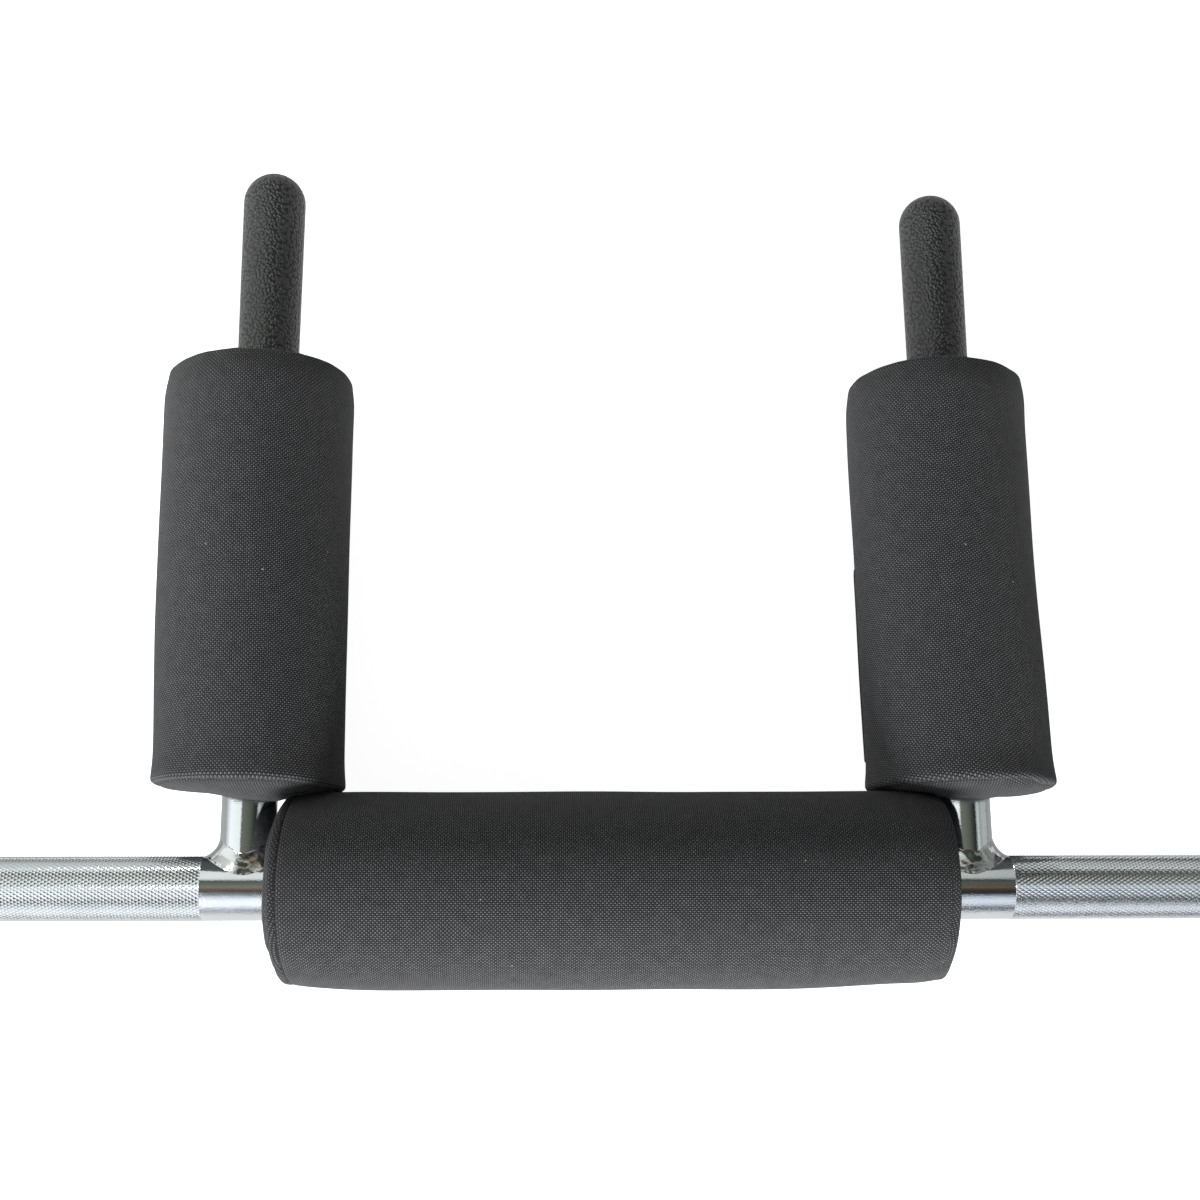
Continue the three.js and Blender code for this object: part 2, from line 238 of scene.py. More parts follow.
@dataclass(frozen=True)
class WeldChrome:
    """Chrome plate over an unground fillet weld: bright and lumpy, with brown patches on its inner half, towards the
    middle of the bar.
    """

    name: str = "chrome plate over weld bead"
    tint: str = "CDCFD0"
    brown: str = "8C7F72"
    roughness: float = 0.08
    brown_size: float = 3.5
    brown_share: tuple[float, float] = (0.42, 0.6)
    browned_places: tuple[float, float] = (ARM_PLACE + 6, ARM_PLACE - 1)
    lump_size: float = 2.6
    lump_height: float = 0.10

    def build(self) -> Material:
        """Makes the material."""
        material, tree, shader, place = new_material(self.name)
        cloud, lumps = (
            add_node(tree, NOISE, {"Vector": place, "Scale": 1 / (size * MM), "Detail": detail}).outputs[0]
            for size, detail in ((self.brown_size, 3.0), (self.lump_size, 2.0)))
        browned = add_node(tree, RANGE, (cloud, *self.brown_share)).outputs[0]
        beside = add_node(tree, "ShaderNodeSeparateXYZ", (place,)).outputs["X"]
        from_middle = add_node(tree, MATH, (beside,), operation="ABSOLUTE").outputs[0]
        inner = add_node(tree, RANGE, (from_middle, *(at * MM for at in self.browned_places))).outputs[0]
        # Brown patches, kept to the inner half of the bead.
        brown_mask = add_node(tree, MATH, (browned, inner), operation="MULTIPLY").outputs[0]
        tone = add_node(tree, MIX, {"Factor": brown_mask, "A": linear(self.tint), "B": linear(self.brown)},
                        data_type="RGBA")
        bump = add_node(tree, BUMP, {"Height": lumps, "Distance": self.lump_height * MM})
        fill(tree, shader, {"Base Color": tone.outputs["Result"], "Normal": bump.outputs[0], "Metallic": 1.0,
                            "Roughness": self.roughness})
        return material


@dataclass(frozen=True)
class HardChrome:
    """Hard chrome on turned steel: satin, with fine lathe marks round the axis and rubbed bands."""

    name: str = "hard chrome on turned steel"
    tint: str = "C4C7CA"
    worn_tint: str = "A9ACAF"
    roughness: float = 0.2
    haze: float = 0.12
    mark_pitch: float = 0.35
    mark_height: float = 0.006
    mark_stretch: float = 0.02
    bands_per_metre: float = 28.0

    def build(self) -> Material:
        """Makes the material."""
        material, tree, shader, place = new_material(self.name)
        squeeze = add_node(tree, "ShaderNodeMapping",
                           {"Vector": place, "Scale": (1.0, self.mark_stretch, self.mark_stretch)})
        marks = add_node(tree, NOISE, {"Vector": squeeze.outputs[0], "Detail": 2.0,
                                       "Scale": 1 / (self.mark_pitch * MM)})
        bands = add_node(tree, NOISE, {"Vector": place, "Scale": self.bands_per_metre, "Detail": 5.0}).outputs[0]
        tone = add_node(tree, MIX, {"Factor": bands, "A": linear(self.worn_tint), "B": linear(self.tint)},
                        data_type="RGBA")
        hazy = add_node(tree, RANGE, {"Value": bands, "To Min": self.roughness,
                                      "To Max": self.roughness + self.haze})
        bump = add_node(tree, BUMP, {"Height": marks.outputs[0], "Distance": self.mark_height * MM})
        fill(tree, shader, {"Base Color": tone.outputs["Result"], "Roughness": hazy.outputs[0],
                            "Normal": bump.outputs[0], "Metallic": 1.0})
        return material


@dataclass(frozen=True)
class WovenNylon:
    """Plain-woven textured nylon: thick matt yarns over and under, and lint, with painted shade in the holes between
    the yarns and a painted sheen on the yarn on top at each crossing.

    The weave follows the surface through the piece's own UV map, one unit to the millimetre.
    """

    name: str = "plain-woven nylon pack cloth"
    yarn: str = "4F5052"
    pale_yarn: str = "636466"
    # Painted shade: the dark that the holes between the yarns are drawn in.
    gap: str = "0C0D0E"
    lint: str = "B9B9B4"
    pitch: float = 1.0
    # Painted sheen: how much brighter or darker the yarn on top at a crossing is drawn, as the light would catch it.
    painted_sheen_step: float = 0.55
    relief: float = 0.62
    roughness: float = 0.62
    shine: float = 0.28
    sheen: float = 0.08
    slub_size: float = 7.0
    slub_share: tuple[float, float] = (0.3, 0.7)
    # The cloth heights over which the painted shade of the holes fades in.
    painted_gap_shade_range: tuple[float, float] = (0.25, 0.85)
    lint_cell: float = 9.0
    lint_radius: float = 0.045
    lint_share: float = 0.12

    def build(self) -> Material:
        """Makes the material."""
        material, tree, shader, place = new_material(self.name, WEAVE_MAP)
        over, painted_yarn_sheen = self.weave(tree, place)
        patch = add_node(tree, NOISE, {"Vector": place, "Scale": 1 / self.slub_size, "Detail": 5.0,
                                       "Roughness": 0.65})
        spun = add_node(tree, RANGE, (patch.outputs[0], *self.slub_share))
        yarn = add_node(tree, MIX, {"Factor": spun.outputs[0], "A": linear(self.yarn), "B": linear(self.pale_yarn)},
                        data_type="RGBA")
        # Painted sheen: the yarn on top at each crossing drawn brighter or darker.
        sheen_painted_yarn = add_node(tree, "ShaderNodeHueSaturation", {"Color": yarn.outputs["Result"], "Value": painted_yarn_sheen})
        # Painted shade: the low parts between the yarns darken towards the holes' colour.
        depth = add_node(tree, RANGE, (over, *self.painted_gap_shade_range), interpolation_type="SMOOTHSTEP")
        cloth = add_node(tree, MIX, {"Factor": depth.outputs[0], "A": linear(self.gap), "B": sheen_painted_yarn.outputs[0]},
                         data_type="RGBA")
        dusty = add_node(tree, MIX, {"Factor": self.lint_mask(tree, place), "A": cloth.outputs["Result"],
                                     "B": linear(self.lint)}, data_type="RGBA")
        bump = add_node(tree, BUMP, {"Height": over, "Distance": self.relief * MM})
        fill(tree, shader, {"Base Color": dusty.outputs["Result"], "Normal": bump.outputs[0],
                            "Roughness": self.roughness, "Specular IOR Level": self.shine,
                            "Sheen Weight": self.sheen, "Sheen Roughness": 0.4})
        return material

    def weave(self, tree: Tree, place: Socket) -> tuple[Socket, Socket]:
        """Works out the height of the cloth, and a painted sheen that draws the yarn on top at each crossing brighter
        or darker.

        Args:
            tree: the node tree.
            place: the UV map, in millimetres.

        Returns:
            The height from 0 to 1, and the painted sheen, a brightness near 1.
        """
        waves, widths = [], []
        for along in add_node(tree, "ShaderNodeSeparateXYZ", (place,)).outputs[:2]:
            turns = add_node(tree, MATH, (along, math.pi / self.pitch), operation="MULTIPLY").outputs[0]
            waves.append(add_node(tree, MATH, (turns,), operation="SINE").outputs[0])
            widths.append(add_node(tree, MATH, waves[-1:], operation="ABSOLUTE").outputs[0])
        product = add_node(tree, MATH, widths, operation="MULTIPLY").outputs[0]
        height = add_node(tree, MATH, (product,), operation="SQRT").outputs[0]
        crossing = add_node(tree, MATH, waves, operation="MULTIPLY").outputs[0]
        is_over = add_node(tree, MATH, (crossing,), operation="SIGN").outputs[0]
        return height, add_node(tree, MATH, (is_over, self.painted_sheen_step, 1.0), operation="MULTIPLY_ADD").outputs[0]

    def lint_mask(self, tree: Tree, place: Socket) -> Socket:
        """Scatters a few pale specks of lint.

        Args:
            tree: the node tree.
            place: the UV map, in millimetres.

        Returns:
            1 on a speck and 0 elsewhere.
        """
        cells = add_node(tree, CELLS, {"Vector": place, "Scale": 1 / self.lint_cell})
        chance = add_node(tree, "ShaderNodeSeparateColor", (cells.outputs["Color"],)).outputs[0]
        near = add_node(tree, MATH, (cells.outputs["Distance"], self.lint_radius), operation="LESS_THAN")
        chosen = add_node(tree, MATH, (chance, self.lint_share), operation="LESS_THAN")
        return add_node(tree, MATH, (near.outputs[0], chosen.outputs[0]), operation="MULTIPLY").outputs[0]


@dataclass(frozen=True)
class ClosureTape:
    """Woven hook-and-loop closure tape: a dull backing with a fine fuzzy pile."""

    name: str = "black hook-and-loop closure tape"
    base: str = "242527"
    tip: str = "3B3C3E"
    pile_size: float = 0.7
    pile_height: float = 0.25

    def build(self) -> Material:
        """Makes the material."""
        material, tree, shader, place = new_material(self.name)
        scale = 1 / (self.pile_size * MM)
        pile = add_node(tree, CELLS, {"Vector": place, "Scale": scale}).outputs["Distance"]
        fuzz = add_node(tree, NOISE, {"Vector": place, "Scale": scale, "Detail": 6.0}).outputs[0]
        tone = add_node(tree, MIX, {"Factor": pile, "A": linear(self.tip), "B": linear(self.base)}, data_type="RGBA")
        height = add_node(tree, MATH, (fuzz, pile), operation="SUBTRACT").outputs[0]
        bump = add_node(tree, BUMP, {"Height": height, "Distance": self.pile_height * MM})
        fill(tree, shader, {"Base Color": tone.outputs["Result"], "Normal": bump.outputs[0], "Roughness": 0.85,
                            "Sheen Weight": 0.5})
        return material


@dataclass(frozen=True)
class SewingThread:
    """Bonded polyester thread: a small satin strand with a twist."""

    name: str = "bonded polyester thread"
    tint: str = "303133"
    twist_pitch: float = 0.5
    twist_height: float = 0.05

    def build(self) -> Material:
        """Makes the material."""
        material, tree, shader, place = new_material(self.name)
        twist = add_node(tree, "ShaderNodeTexWave", {"Vector": place, "Scale": 1 / (self.twist_pitch * MM) / TURN,
                                                     "Distortion": 1.0}, bands_direction="DIAGONAL")
        bump = add_node(tree, BUMP, {"Height": twist.outputs["Fac"], "Distance": self.twist_height * MM})
        fill(tree, shader, {"Normal": bump.outputs[0], "Base Color": linear(self.tint), "Roughness": 0.5})
        return material


@dataclass(frozen=True)
class PebbledRubber:
    """Moulded black rubber with a leather-like pebble grain, a little shiny on the pebble tops; the valleys are
    painted dark as shade.

    The grain follows the surface through the piece's own UV map, one unit to the millimetre.
    """

    name: str = "moulded rubber with pebble grain"
    top: str = "4D504D"
    # Painted shade: the dark of the valleys between the pebbles.
    painted_valley_shade: str = "0A0B0B"
    pebble: float = 1.8
    pebble_reach: float = 0.36
    relief: float = 0.5
    top_roughness: float = 0.18
    painted_valley_shade_roughness: float = 0.51

    def build(self) -> Material:
        """Makes the material."""
        material, tree, shader, place = new_material(self.name, GRAIN_MAP)
        pebbles = add_node(tree, CELLS, {"Vector": place, "Scale": 1 / self.pebble}, voronoi_dimensions="2D")
        flank = add_node(tree, MATH, (pebbles.outputs["Distance"], 2.0), operation="POWER").outputs[0]
        dome = add_node(tree, RANGE, (flank, self.pebble_reach, 0.0)).outputs[0]
        # Painted shade: the colour darkens from the pebble tops into the valleys.
        tone = add_node(tree, MIX, {"Factor": dome, "A": linear(self.painted_valley_shade), "B": linear(self.top)},
                        data_type="RGBA")
        shine = add_node(tree, RANGE, {"Value": dome, "To Min": self.painted_valley_shade_roughness,
                                       "To Max": self.top_roughness})
        bump = add_node(tree, BUMP, {"Height": dome, "Distance": self.relief * MM})
        fill(tree, shader, {"Base Color": tone.outputs["Result"], "Roughness": shine.outputs[0],
                            "Normal": bump.outputs[0], "IOR": 1.52})
        return material


class Grain(Enum):
    """What a fine grain looks like: the texture that draws it."""

    CLOUDY = NOISE
    ROUND_CELLS = CELLS


@dataclass(frozen=True)
class GrainedFinish:
    """Two near tints of one material, mixed by a fine grain that is also its relief."""

    name: str
    low_tint: str
    high_tint: str
    grain_size: float
    grain_height: float
    roughness: float
    detail: float = 0.0
    metallic: float = 0.0
    ior: float | None = None
    grain: Grain = Grain.CLOUDY

    def build(self) -> Material:
        """Makes the material."""
        material, tree, shader, place = new_material(self.name)
        grain = add_node(tree, self.grain.value, {"Vector": place, "Scale": 1 / (self.grain_size * MM),
                                                  "Detail": self.detail}).outputs[0]
        tone = add_node(tree, MIX, {"Factor": grain, "A": linear(self.low_tint), "B": linear(self.high_tint)},
                        data_type="RGBA")
        bump = add_node(tree, BUMP, {"Height": grain, "Distance": self.grain_height * MM})
        fill(tree, shader, {"Base Color": tone.outputs["Result"], "Normal": bump.outputs[0],
                            "Metallic": self.metallic, "Roughness": self.roughness})
        if self.ior:
            shader.inputs["IOR"].default_value = self.ior
        return material


# Closed-cell foam, cut from a block: dull charcoal, with fine cut cells.
CLOSED_CELL_FOAM = GrainedFinish("charcoal closed-cell foam", "1D1D1E", "3A3A3B", 0.9, 0.4, 0.95,
                                 grain=Grain.ROUND_CELLS)
# Sintered bronze, filled with oil: warm, matt and faintly pored.
SINTERED_BRONZE = GrainedFinish("oil-filled sintered bronze", "75572F", "A9814C", 0.5, 0.03, 0.42, 4.0, metallic=1.0)
# Stamped spring steel, phosphated and oiled: near black, with a dull sheen.
SPRING_STEEL = GrainedFinish("phosphated spring steel", "34363A", "56585B", 1.2, 0.02, 0.45, 5.0, metallic=1.0)
# Injection-moulded polypropylene: black, with a fine spark-eroded texture under a soft shine.
MOULDED_PLASTIC = GrainedFinish("moulded black polypropylene", "232426", "2E2F31", 0.6, 0.04, 0.42, 3.0, ior=1.49)


# Mesh work

def deselect_all() -> None:
    """Leaves no object selected."""
    if bpy.context.mode != "OBJECT":
        bpy.ops.object.mode_set(mode="OBJECT")
    bpy.ops.object.select_all(action="DESELECT")


def activate(piece: Object) -> None:
    """Makes one object the active and only selected one."""
    deselect_all()
    piece.select_set(True)
    bpy.context.view_layer.objects.active = piece


def edit(piece: Object) -> None:
    """Opens a piece in edit mode with nothing in it selected."""
    activate(piece)
    bpy.ops.object.mode_set(mode="EDIT")
    bpy.ops.mesh.select_mode(type="VERT")
    bpy.ops.mesh.select_all(action="DESELECT")


def select_vertices(piece: Object, wanted: Callable[[Vector], bool]) -> None:
    """Selects the vertices of the piece in edit mode that a test accepts."""
    shape = bmesh.from_edit_mesh(piece.data)
    for vertex in shape.verts:
        vertex.select_set(wanted(vertex.co))
    shape.select_flush_mode()
    bmesh.update_edit_mesh(piece.data)


def close_edit() -> None:
    """Leaves edit mode."""
    bpy.ops.object.mode_set(mode="OBJECT")


def face_outwards(piece: Object) -> None:
    """Turns all faces of a piece outwards."""
    edit(piece)
    bpy.ops.mesh.select_all(action="SELECT")
    bpy.ops.mesh.normals_make_consistent(inside=False)
    close_edit()


def name_new(name: str) -> Object:
    """Names the object that was just made, and its mesh, and returns it."""
    piece = bpy.context.object
    piece.name = piece.data.name = name
    return piece


def turn_between(angle: float, other: float) -> float:
    """How far one angle is past another, from -180 to 180 degrees."""
    return (angle - other + 180) % 360 - 180


def apply_modifiers(piece: Object) -> None:
    """Applies every modifier of a piece, in order."""
    activate(piece)
    for modifier in list(piece.modifiers):
        bpy.ops.object.modifier_apply(modifier=modifier.name)


def smooth(piece: Object, sharp_degrees: float = 40.0) -> None:
    """Shades a piece smooth, except where its faces meet at more than an angle."""
    activate(piece)
    bpy.ops.object.shade_smooth_by_angle(angle=math.radians(sharp_degrees))


def copy_piece(piece: Object, name: str, move: Matrix) -> Object:
    """Copies a piece with a mesh of its own, and moves the copy.

    Args:
        piece: what to copy.
        name: the copy's name.
        move: where the copy goes.

    Returns:
        The copy, with its place in its mesh.
    """
    twin = piece.copy()
    twin.data = piece.data.copy()
    twin.name = twin.data.name = name
    bpy.context.scene.collection.objects.link(twin)
    twin.data.transform(move)
    return twin


def spin_outline(name: str, outline: Outline, axis: Axis, centre: Vector, steps: int,
                 is_closed: bool = False, edge_round: float = 0.0) -> Object:
    """Draws an outline point by point, and spins it round an axis, as on a lathe.

    Args:
        name: the piece's name.
        outline: radius and place along the axis of each point, in millimetres.
        axis: the direction of the axis.
        centre: a point of the axis, in millimetres, from which places are measured.
        steps: how many facets go round.
        is_closed: whether the last point joins the first.
        edge_round: the radius of the rounded corners, in millimetres.

    Returns:
        The piece, shaded flat.
    """
    def point(radius: float, along: float) -> Vector:
        return (centre + axis.vector * along + UP * radius) * MM

    deselect_all()
    bpy.ops.mesh.primitive_plane_add(size=MM, location=point(*outline[0]))
    piece = name_new(name)
    bpy.ops.object.transform_apply(location=True, rotation=True, scale=True)
    bpy.ops.object.mode_set(mode="EDIT")
    bpy.ops.mesh.select_mode(type="VERT")
    bpy.ops.mesh.select_all(action="SELECT")
    bpy.ops.mesh.merge(type="CENTER")
    for start, end in zip(outline, outline[1:]):
        step = point(*end) - point(*start)
        bpy.ops.mesh.extrude_vertices_move(TRANSFORM_OT_translate={"value": step})
    if is_closed:
        ends = [point(*outline[0]), point(*outline[-1])]
        select_vertices(piece, lambda at: min((at - end).length for end in ends) < 1e-6)
        bpy.ops.mesh.edge_face_add()
    if edge_round:
        axis_line = centre * MM
        select_vertices(piece, lambda at: (at - axis_line).z > edge_round * MM)
        bpy.ops.mesh.bevel(offset=edge_round * MM, segments=3, affect="VERTICES")
    bpy.ops.mesh.select_all(action="SELECT")
    bpy.ops.mesh.spin(steps=steps, angle=TURN, center=centre * MM, axis=axis.vector)
    bpy.ops.mesh.select_all(action="SELECT")
    bpy.ops.mesh.remove_doubles(threshold=MERGE_GAP * MM)
    bpy.ops.mesh.dissolve_degenerate(threshold=0.001 * MM)
    bpy.ops.mesh.select_all(action="SELECT")
    bpy.ops.mesh.normals_make_consistent(inside=False)
    if bmesh.from_edit_mesh(piece.data).calc_volume(signed=True) < 0:
        bpy.ops.mesh.flip_normals()
    close_edit()
    return piece


def hand_over(piece: Object, material: Material, body: str,
              nodes: Sequence[str] = ()) -> Object:
    """Gives a finished piece its material and its body, and reports it.

    Args:
        piece: the finished piece.
        material: what it is made of.
        body: the body it moves with.
        nodes: the solids that it stands for.

    Returns:
        The piece.
    """
    piece.data.materials.clear()
    piece.data.materials.append(material)
    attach(piece, body)
    if nodes:
        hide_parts(*nodes)
    LOG.info("%s: %d faces on %s", piece.name, len(piece.data.polygons), body)
    return piece


# The steel

@dataclass
class Shaft:
    """The straight bar: a smooth middle, two diamond-knurled runs, and journals inside the sleeves."""

    smooth_half: float = 203.0
    knurl_end: float = 635.0
    knurl_rise: float = 0.13
    knurl_depth: float = 0.17
    knurl_step: float = 0.25
    diamond_length: float = 3.27
    diamonds_round: int = 53
    shoulder: float = 661.0
    journal_radius: float = 14.0
    groove_radius: float = 12.5
    groove: tuple[float, float] = (1078.4, 1081.0)
    end: float = 1088.7
    edge: float = 1.0

    def build(self, plate: Material, rolled: Material) -> Object:
        """Turns the bar and rolls the knurl into it.

        Args:
            plate: the chrome on the smooth parts.
            rolled: the chrome on the knurl.

        Returns:
            The finished bar.
        """
        half = self.half_outline()
        outline = [(radius, -along) for radius, along in reversed(half)] + half
        steps = 2 * self.diamonds_round
        piece = spin_outline("knurled_shaft", outline, Axis.ALONG_BAR, Vector((0, 0, AXIS_HEIGHT)), steps)
        self.roll_knurl(piece, steps)
        smooth(piece, 12.0)
        hand_over(piece, plate, BAR, ["bar_shaft"])
        piece.data.materials.append(rolled)
        first, last = self.knurl_places()[0] * MM, self.knurl_places()[-1] * MM
        for face in piece.data.polygons:
            face.material_index = int(first < abs(face.center.x) < last)
        return piece

    def knurl_places(self) -> list[float]:
        """Places of the rings of the right knurl, half a diamond apart."""
        half_diamond = self.diamond_length / 2
        count = int((self.knurl_end - self.smooth_half - 2 * self.knurl_step) / half_diamond)
        return [self.smooth_half + self.knurl_step + index * half_diamond for index in range(count + 1)]

    def half_outline(self) -> Outline:
        """The right half of the bar, from the middle out."""
        shaft, journal = SHAFT_RADIUS, self.journal_radius
        start, end = self.groove
        turned = [
            (shaft, self.shoulder - self.edge), (shaft - self.edge, self.shoulder),
            (journal, self.shoulder), (journal, start), (self.groove_radius, start),
            (self.groove_radius, end), (journal, end), (journal, self.end - self.edge),
            (journal - self.edge, self.end), (0, self.end),
        ]
        smooth_ends = [(shaft, 0.0), (shaft, self.smooth_half)]
        rings = [(shaft, place) for place in self.knurl_places()]
        return [*smooth_ends, *rings, (shaft, self.knurl_end), *turned]

    def roll_knurl(self, piece: Object, steps: int) -> None:
        """Raises every other point of the knurled runs, and turns their squares into diamonds.

        Args:
            piece: the turned bar.
            steps: how many facets go round it.
        """
        places = self.knurl_places()
        half_diamond = self.diamond_length / 2
        room = self.knurl_step / 2
        middle = AXIS_HEIGHT * MM
        for vertex in piece.data.vertices:
            x, y, z = vertex.co
            if not places[0] - room < abs(x) / MM < places[-1] + room:
                continue
            ring = round((abs(x) / MM - places[0]) / half_diamond)
            spoke = round(math.atan2(y, z - middle) / TURN * steps)
            lift = self.knurl_rise if (ring + spoke) % 2 == 0 else -self.knurl_depth
            share = 1 + lift / SHAFT_RADIUS
            vertex.co.y = y * share
            vertex.co.z = middle + (z - middle) * share
        edit(piece)
        start, end = (self.smooth_half - room) * MM, (self.knurl_end + room) * MM
        select_vertices(piece, lambda at: start < abs(at.x) < end)
        bpy.ops.mesh.quads_convert_to_tris(quad_method="SHORTEST_DIAGONAL")
        close_edit()


@dataclass
class Arm:
    """One arm: a tube cut to sit on the shaft, and the fillet weld round its foot."""

    side: Side
    reach: float = 372.7
    wall: float = 3.0
    leg_on_shaft: float = 7.0
    leg_over_top: float = 3.2
    leg_on_arm: float = 8.5
    hollow: float = 2.8
    toe: float = 0.02
    buried_share: float = 0.3
    lump_size: float = 6.5
    lump_share: float = 0.10
    ripple_pitch: float = 2.3
    ripple_share: float = 0.12
    seed: float = 0.0
    steps: int = 96

    @property
    def centre(self) -> Vector:
        """Where the arm's axis meets the shaft's."""
        return Vector((self.side.value * ARM_PLACE, 0, AXIS_HEIGHT))

    def build_tube(self, plate: Material) -> Object:
        """Makes the tube, with its foot cut to the shaft.

        Args:
            plate: the chrome.

        Returns:
            The finished tube.
        """
        inner = ARM_RADIUS - self.wall
        outline = [(inner, 0), (ARM_RADIUS, 0), (ARM_RADIUS, 60), (ARM_RADIUS, self.reach - 0.8),
                   (ARM_RADIUS - 0.8, self.reach), (inner, self.reach), (inner, 60)]
        name = f"{self.side.label}_arm_tube"
        piece = spin_outline(name, outline, Axis.ALONG_ARM, self.centre, self.steps, is_closed=True)
        for vertex in piece.data.vertices:
            if vertex.co.y < MM:
                vertex.co.y = self.saddle(vertex.co.z / MM - AXIS_HEIGHT) * MM
        smooth(piece)
        return hand_over(piece, plate, BAR, [f"{self.side.label}_arm"])

    @staticmethod
    def saddle(height: float) -> float:
        """How far the shaft's skin stands out from its axis, at a height over the axis."""
        return math.sqrt(SHAFT_RADIUS ** 2 - height ** 2)

    def build_weld(self, plate: Material) -> Object:
        """Bends a ring onto the line where the tube meets the shaft, and ripples it.

        Args:
            plate: the chrome over the weld.

        Returns:
            The finished weld.
        """
        deselect_all()
        bpy.ops.mesh.primitive_torus_add(location=(0, 0, 0), major_radius=ARM_RADIUS, minor_radius=1,
                                         major_segments=240, minor_segments=40)
        piece = name_new(f"{self.side.label}_weld_bead")
        for vertex in piece.data.vertices:
            vertex.co = self.bead_point(vertex.co)
        face_outwards(piece)
        smooth(piece, 70.0)
        return hand_over(piece, plate, BAR, [f"{self.side.label}_weld"])

    def bead_point(self, at: Vector) -> Vector:
        """Moves one point of a flat ring of radius 1 to its place on the bead.

        Args:
            at: the point on the ring, which lies in the XY plane.

        Returns:
            The place on the finished weld, in metres.
        """
        angle = math.atan2(at.y, at.x)
        outward, upward = math.hypot(at.x, at.y) - ARM_RADIUS, at.z
        size = 1 + self.roughen(angle, outward, upward)
        leg_on_shaft = self.leg_over_top + (self.leg_on_shaft - self.leg_over_top) * math.cos(angle) ** 2
        if outward > 0 and upward > 0:
            outward, upward = (self.toe + outward ** self.hollow * size, self.toe + upward ** self.hollow * size)
        along_shaft = max(outward, outward * self.buried_share) * leg_on_shaft
        up_arm = max(upward, upward * self.buried_share) * self.leg_on_arm
        across, height = ARM_RADIUS * math.cos(angle), ARM_RADIUS * math.sin(angle)
        lift = math.asin(height / SHAFT_RADIUS)
        away = Vector((across / math.cos(lift), height)).normalized() * along_shaft
        turned = lift + away.y / SHAFT_RADIUS
        place = Vector((across + away.x, SHAFT_RADIUS * math.cos(turned) + up_arm, SHAFT_RADIUS * math.sin(turned)))
        return (self.centre + place) * MM

    def roughen(self, angle: float, outward: float, upward: float) -> float:
        """How much bigger the bead is at a point, from the lumps and ripples of hand welding.

        Args:
            angle: the angle round the arm, in radians.
            outward: the point's place from the joint along the shaft, from -1 to 1.
            upward: its place up the arm, from -1 to 1.

        Returns:
            The growth, as a share of the bead's size.
        """
        at = Vector((math.cos(angle), math.sin(angle), 0)) * (ARM_RADIUS + outward * self.leg_on_shaft)
        at.z = upward * self.leg_on_arm + self.seed * 11
        lumps = noise.noise(at / self.lump_size) + 0.3 * noise.noise(at / self.lump_size * 2.5)
        on_top = max(0.0, math.sin(angle)) ** 2
        wobble = noise.noise(at / self.lump_size / 2)
        ripple = math.sin(TURN * (upward * self.leg_on_arm / self.ripple_pitch + wobble))
        return self.lump_share * lumps + self.ripple_share * on_top * ripple


@dataclass
class Grip:
    """The push-on rubber hand grip: slightly fatter at its round tip, with a rolled foot."""

    side: Side
    foot: float
    length: float = 135.0
    foot_radius: float = 16.3
    tip_radius: float = 16.85
    bore_radius: float = 14.3
    end_wall: float = 12.0
    dome_steps: int = 14
    foot_round: float = 1.2

    def build(self, rubber: Material) -> Object:
        """Turns the grip.

        Args:
            rubber: its material.

        Returns:
            The finished grip.
        """
        dome_start = self.length - self.tip_radius
        outline = [(0, self.length - self.end_wall), (self.bore_radius, self.length - self.end_wall),
                   (self.bore_radius, self.foot_round), (self.bore_radius + 0.5, 0),
                   (self.foot_radius - self.foot_round, 0), (self.foot_radius - 0.35, 0.35),
                   (self.foot_radius, self.foot_round), (self.foot_radius, 25), (self.foot_radius + 0.3, 70)]
        for step in range(self.dome_steps):
            angle = math.pi / 2 * step / self.dome_steps
            outline.append((self.tip_radius * math.cos(angle), dome_start + self.tip_radius * math.sin(angle)))
        outline.append((0, self.length))
        centre = Vector((self.side.value * ARM_PLACE, self.foot, AXIS_HEIGHT))
        piece = spin_outline(f"{self.side.label}_hand_grip", outline, Axis.ALONG_ARM, centre, 96)
        self.map_grain(piece, centre)
        smooth(piece, 35.0)
        return hand_over(piece, rubber, BAR, [f"{self.side.label}_grip"])

    def map_grain(self, piece: Object, centre: Vector) -> None:
        """Lays the grain on the grip: round the barrel, and from the middle out on the round tip.

        Args:
            piece: the turned grip.
            centre: where the grip's axis meets its foot.
        """
        layer = piece.data.uv_layers.new(name=GRAIN_MAP)
        dome_start = self.length - self.tip_radius
        for face in piece.data.polygons:
            middle = face.center / MM - centre
            middle_angle = math.atan2(middle.x, middle.z)
            is_tip = middle.y - dome_start > math.hypot(middle.x, middle.z)
            for loop in face.loop_indices:
                local = piece.data.vertices[piece.data.loops[loop].vertex_index].co / MM - centre
                angle, radius = math.atan2(local.x, local.z), math.hypot(local.x, local.z)
                angle += TURN * round((middle_angle - angle) / TURN)
                climb = math.atan2(max(0.0, local.y - dome_start), radius)
                reach = (math.pi / 2 - climb) * self.tip_radius
                if is_tip:
                    layer.data[loop].uv = (reach * math.sin(angle), self.length + reach * math.cos(angle))
                else:
                    layer.data[loop].uv = (angle * self.tip_radius, min(local.y, dome_start) + climb * self.tip_radius)


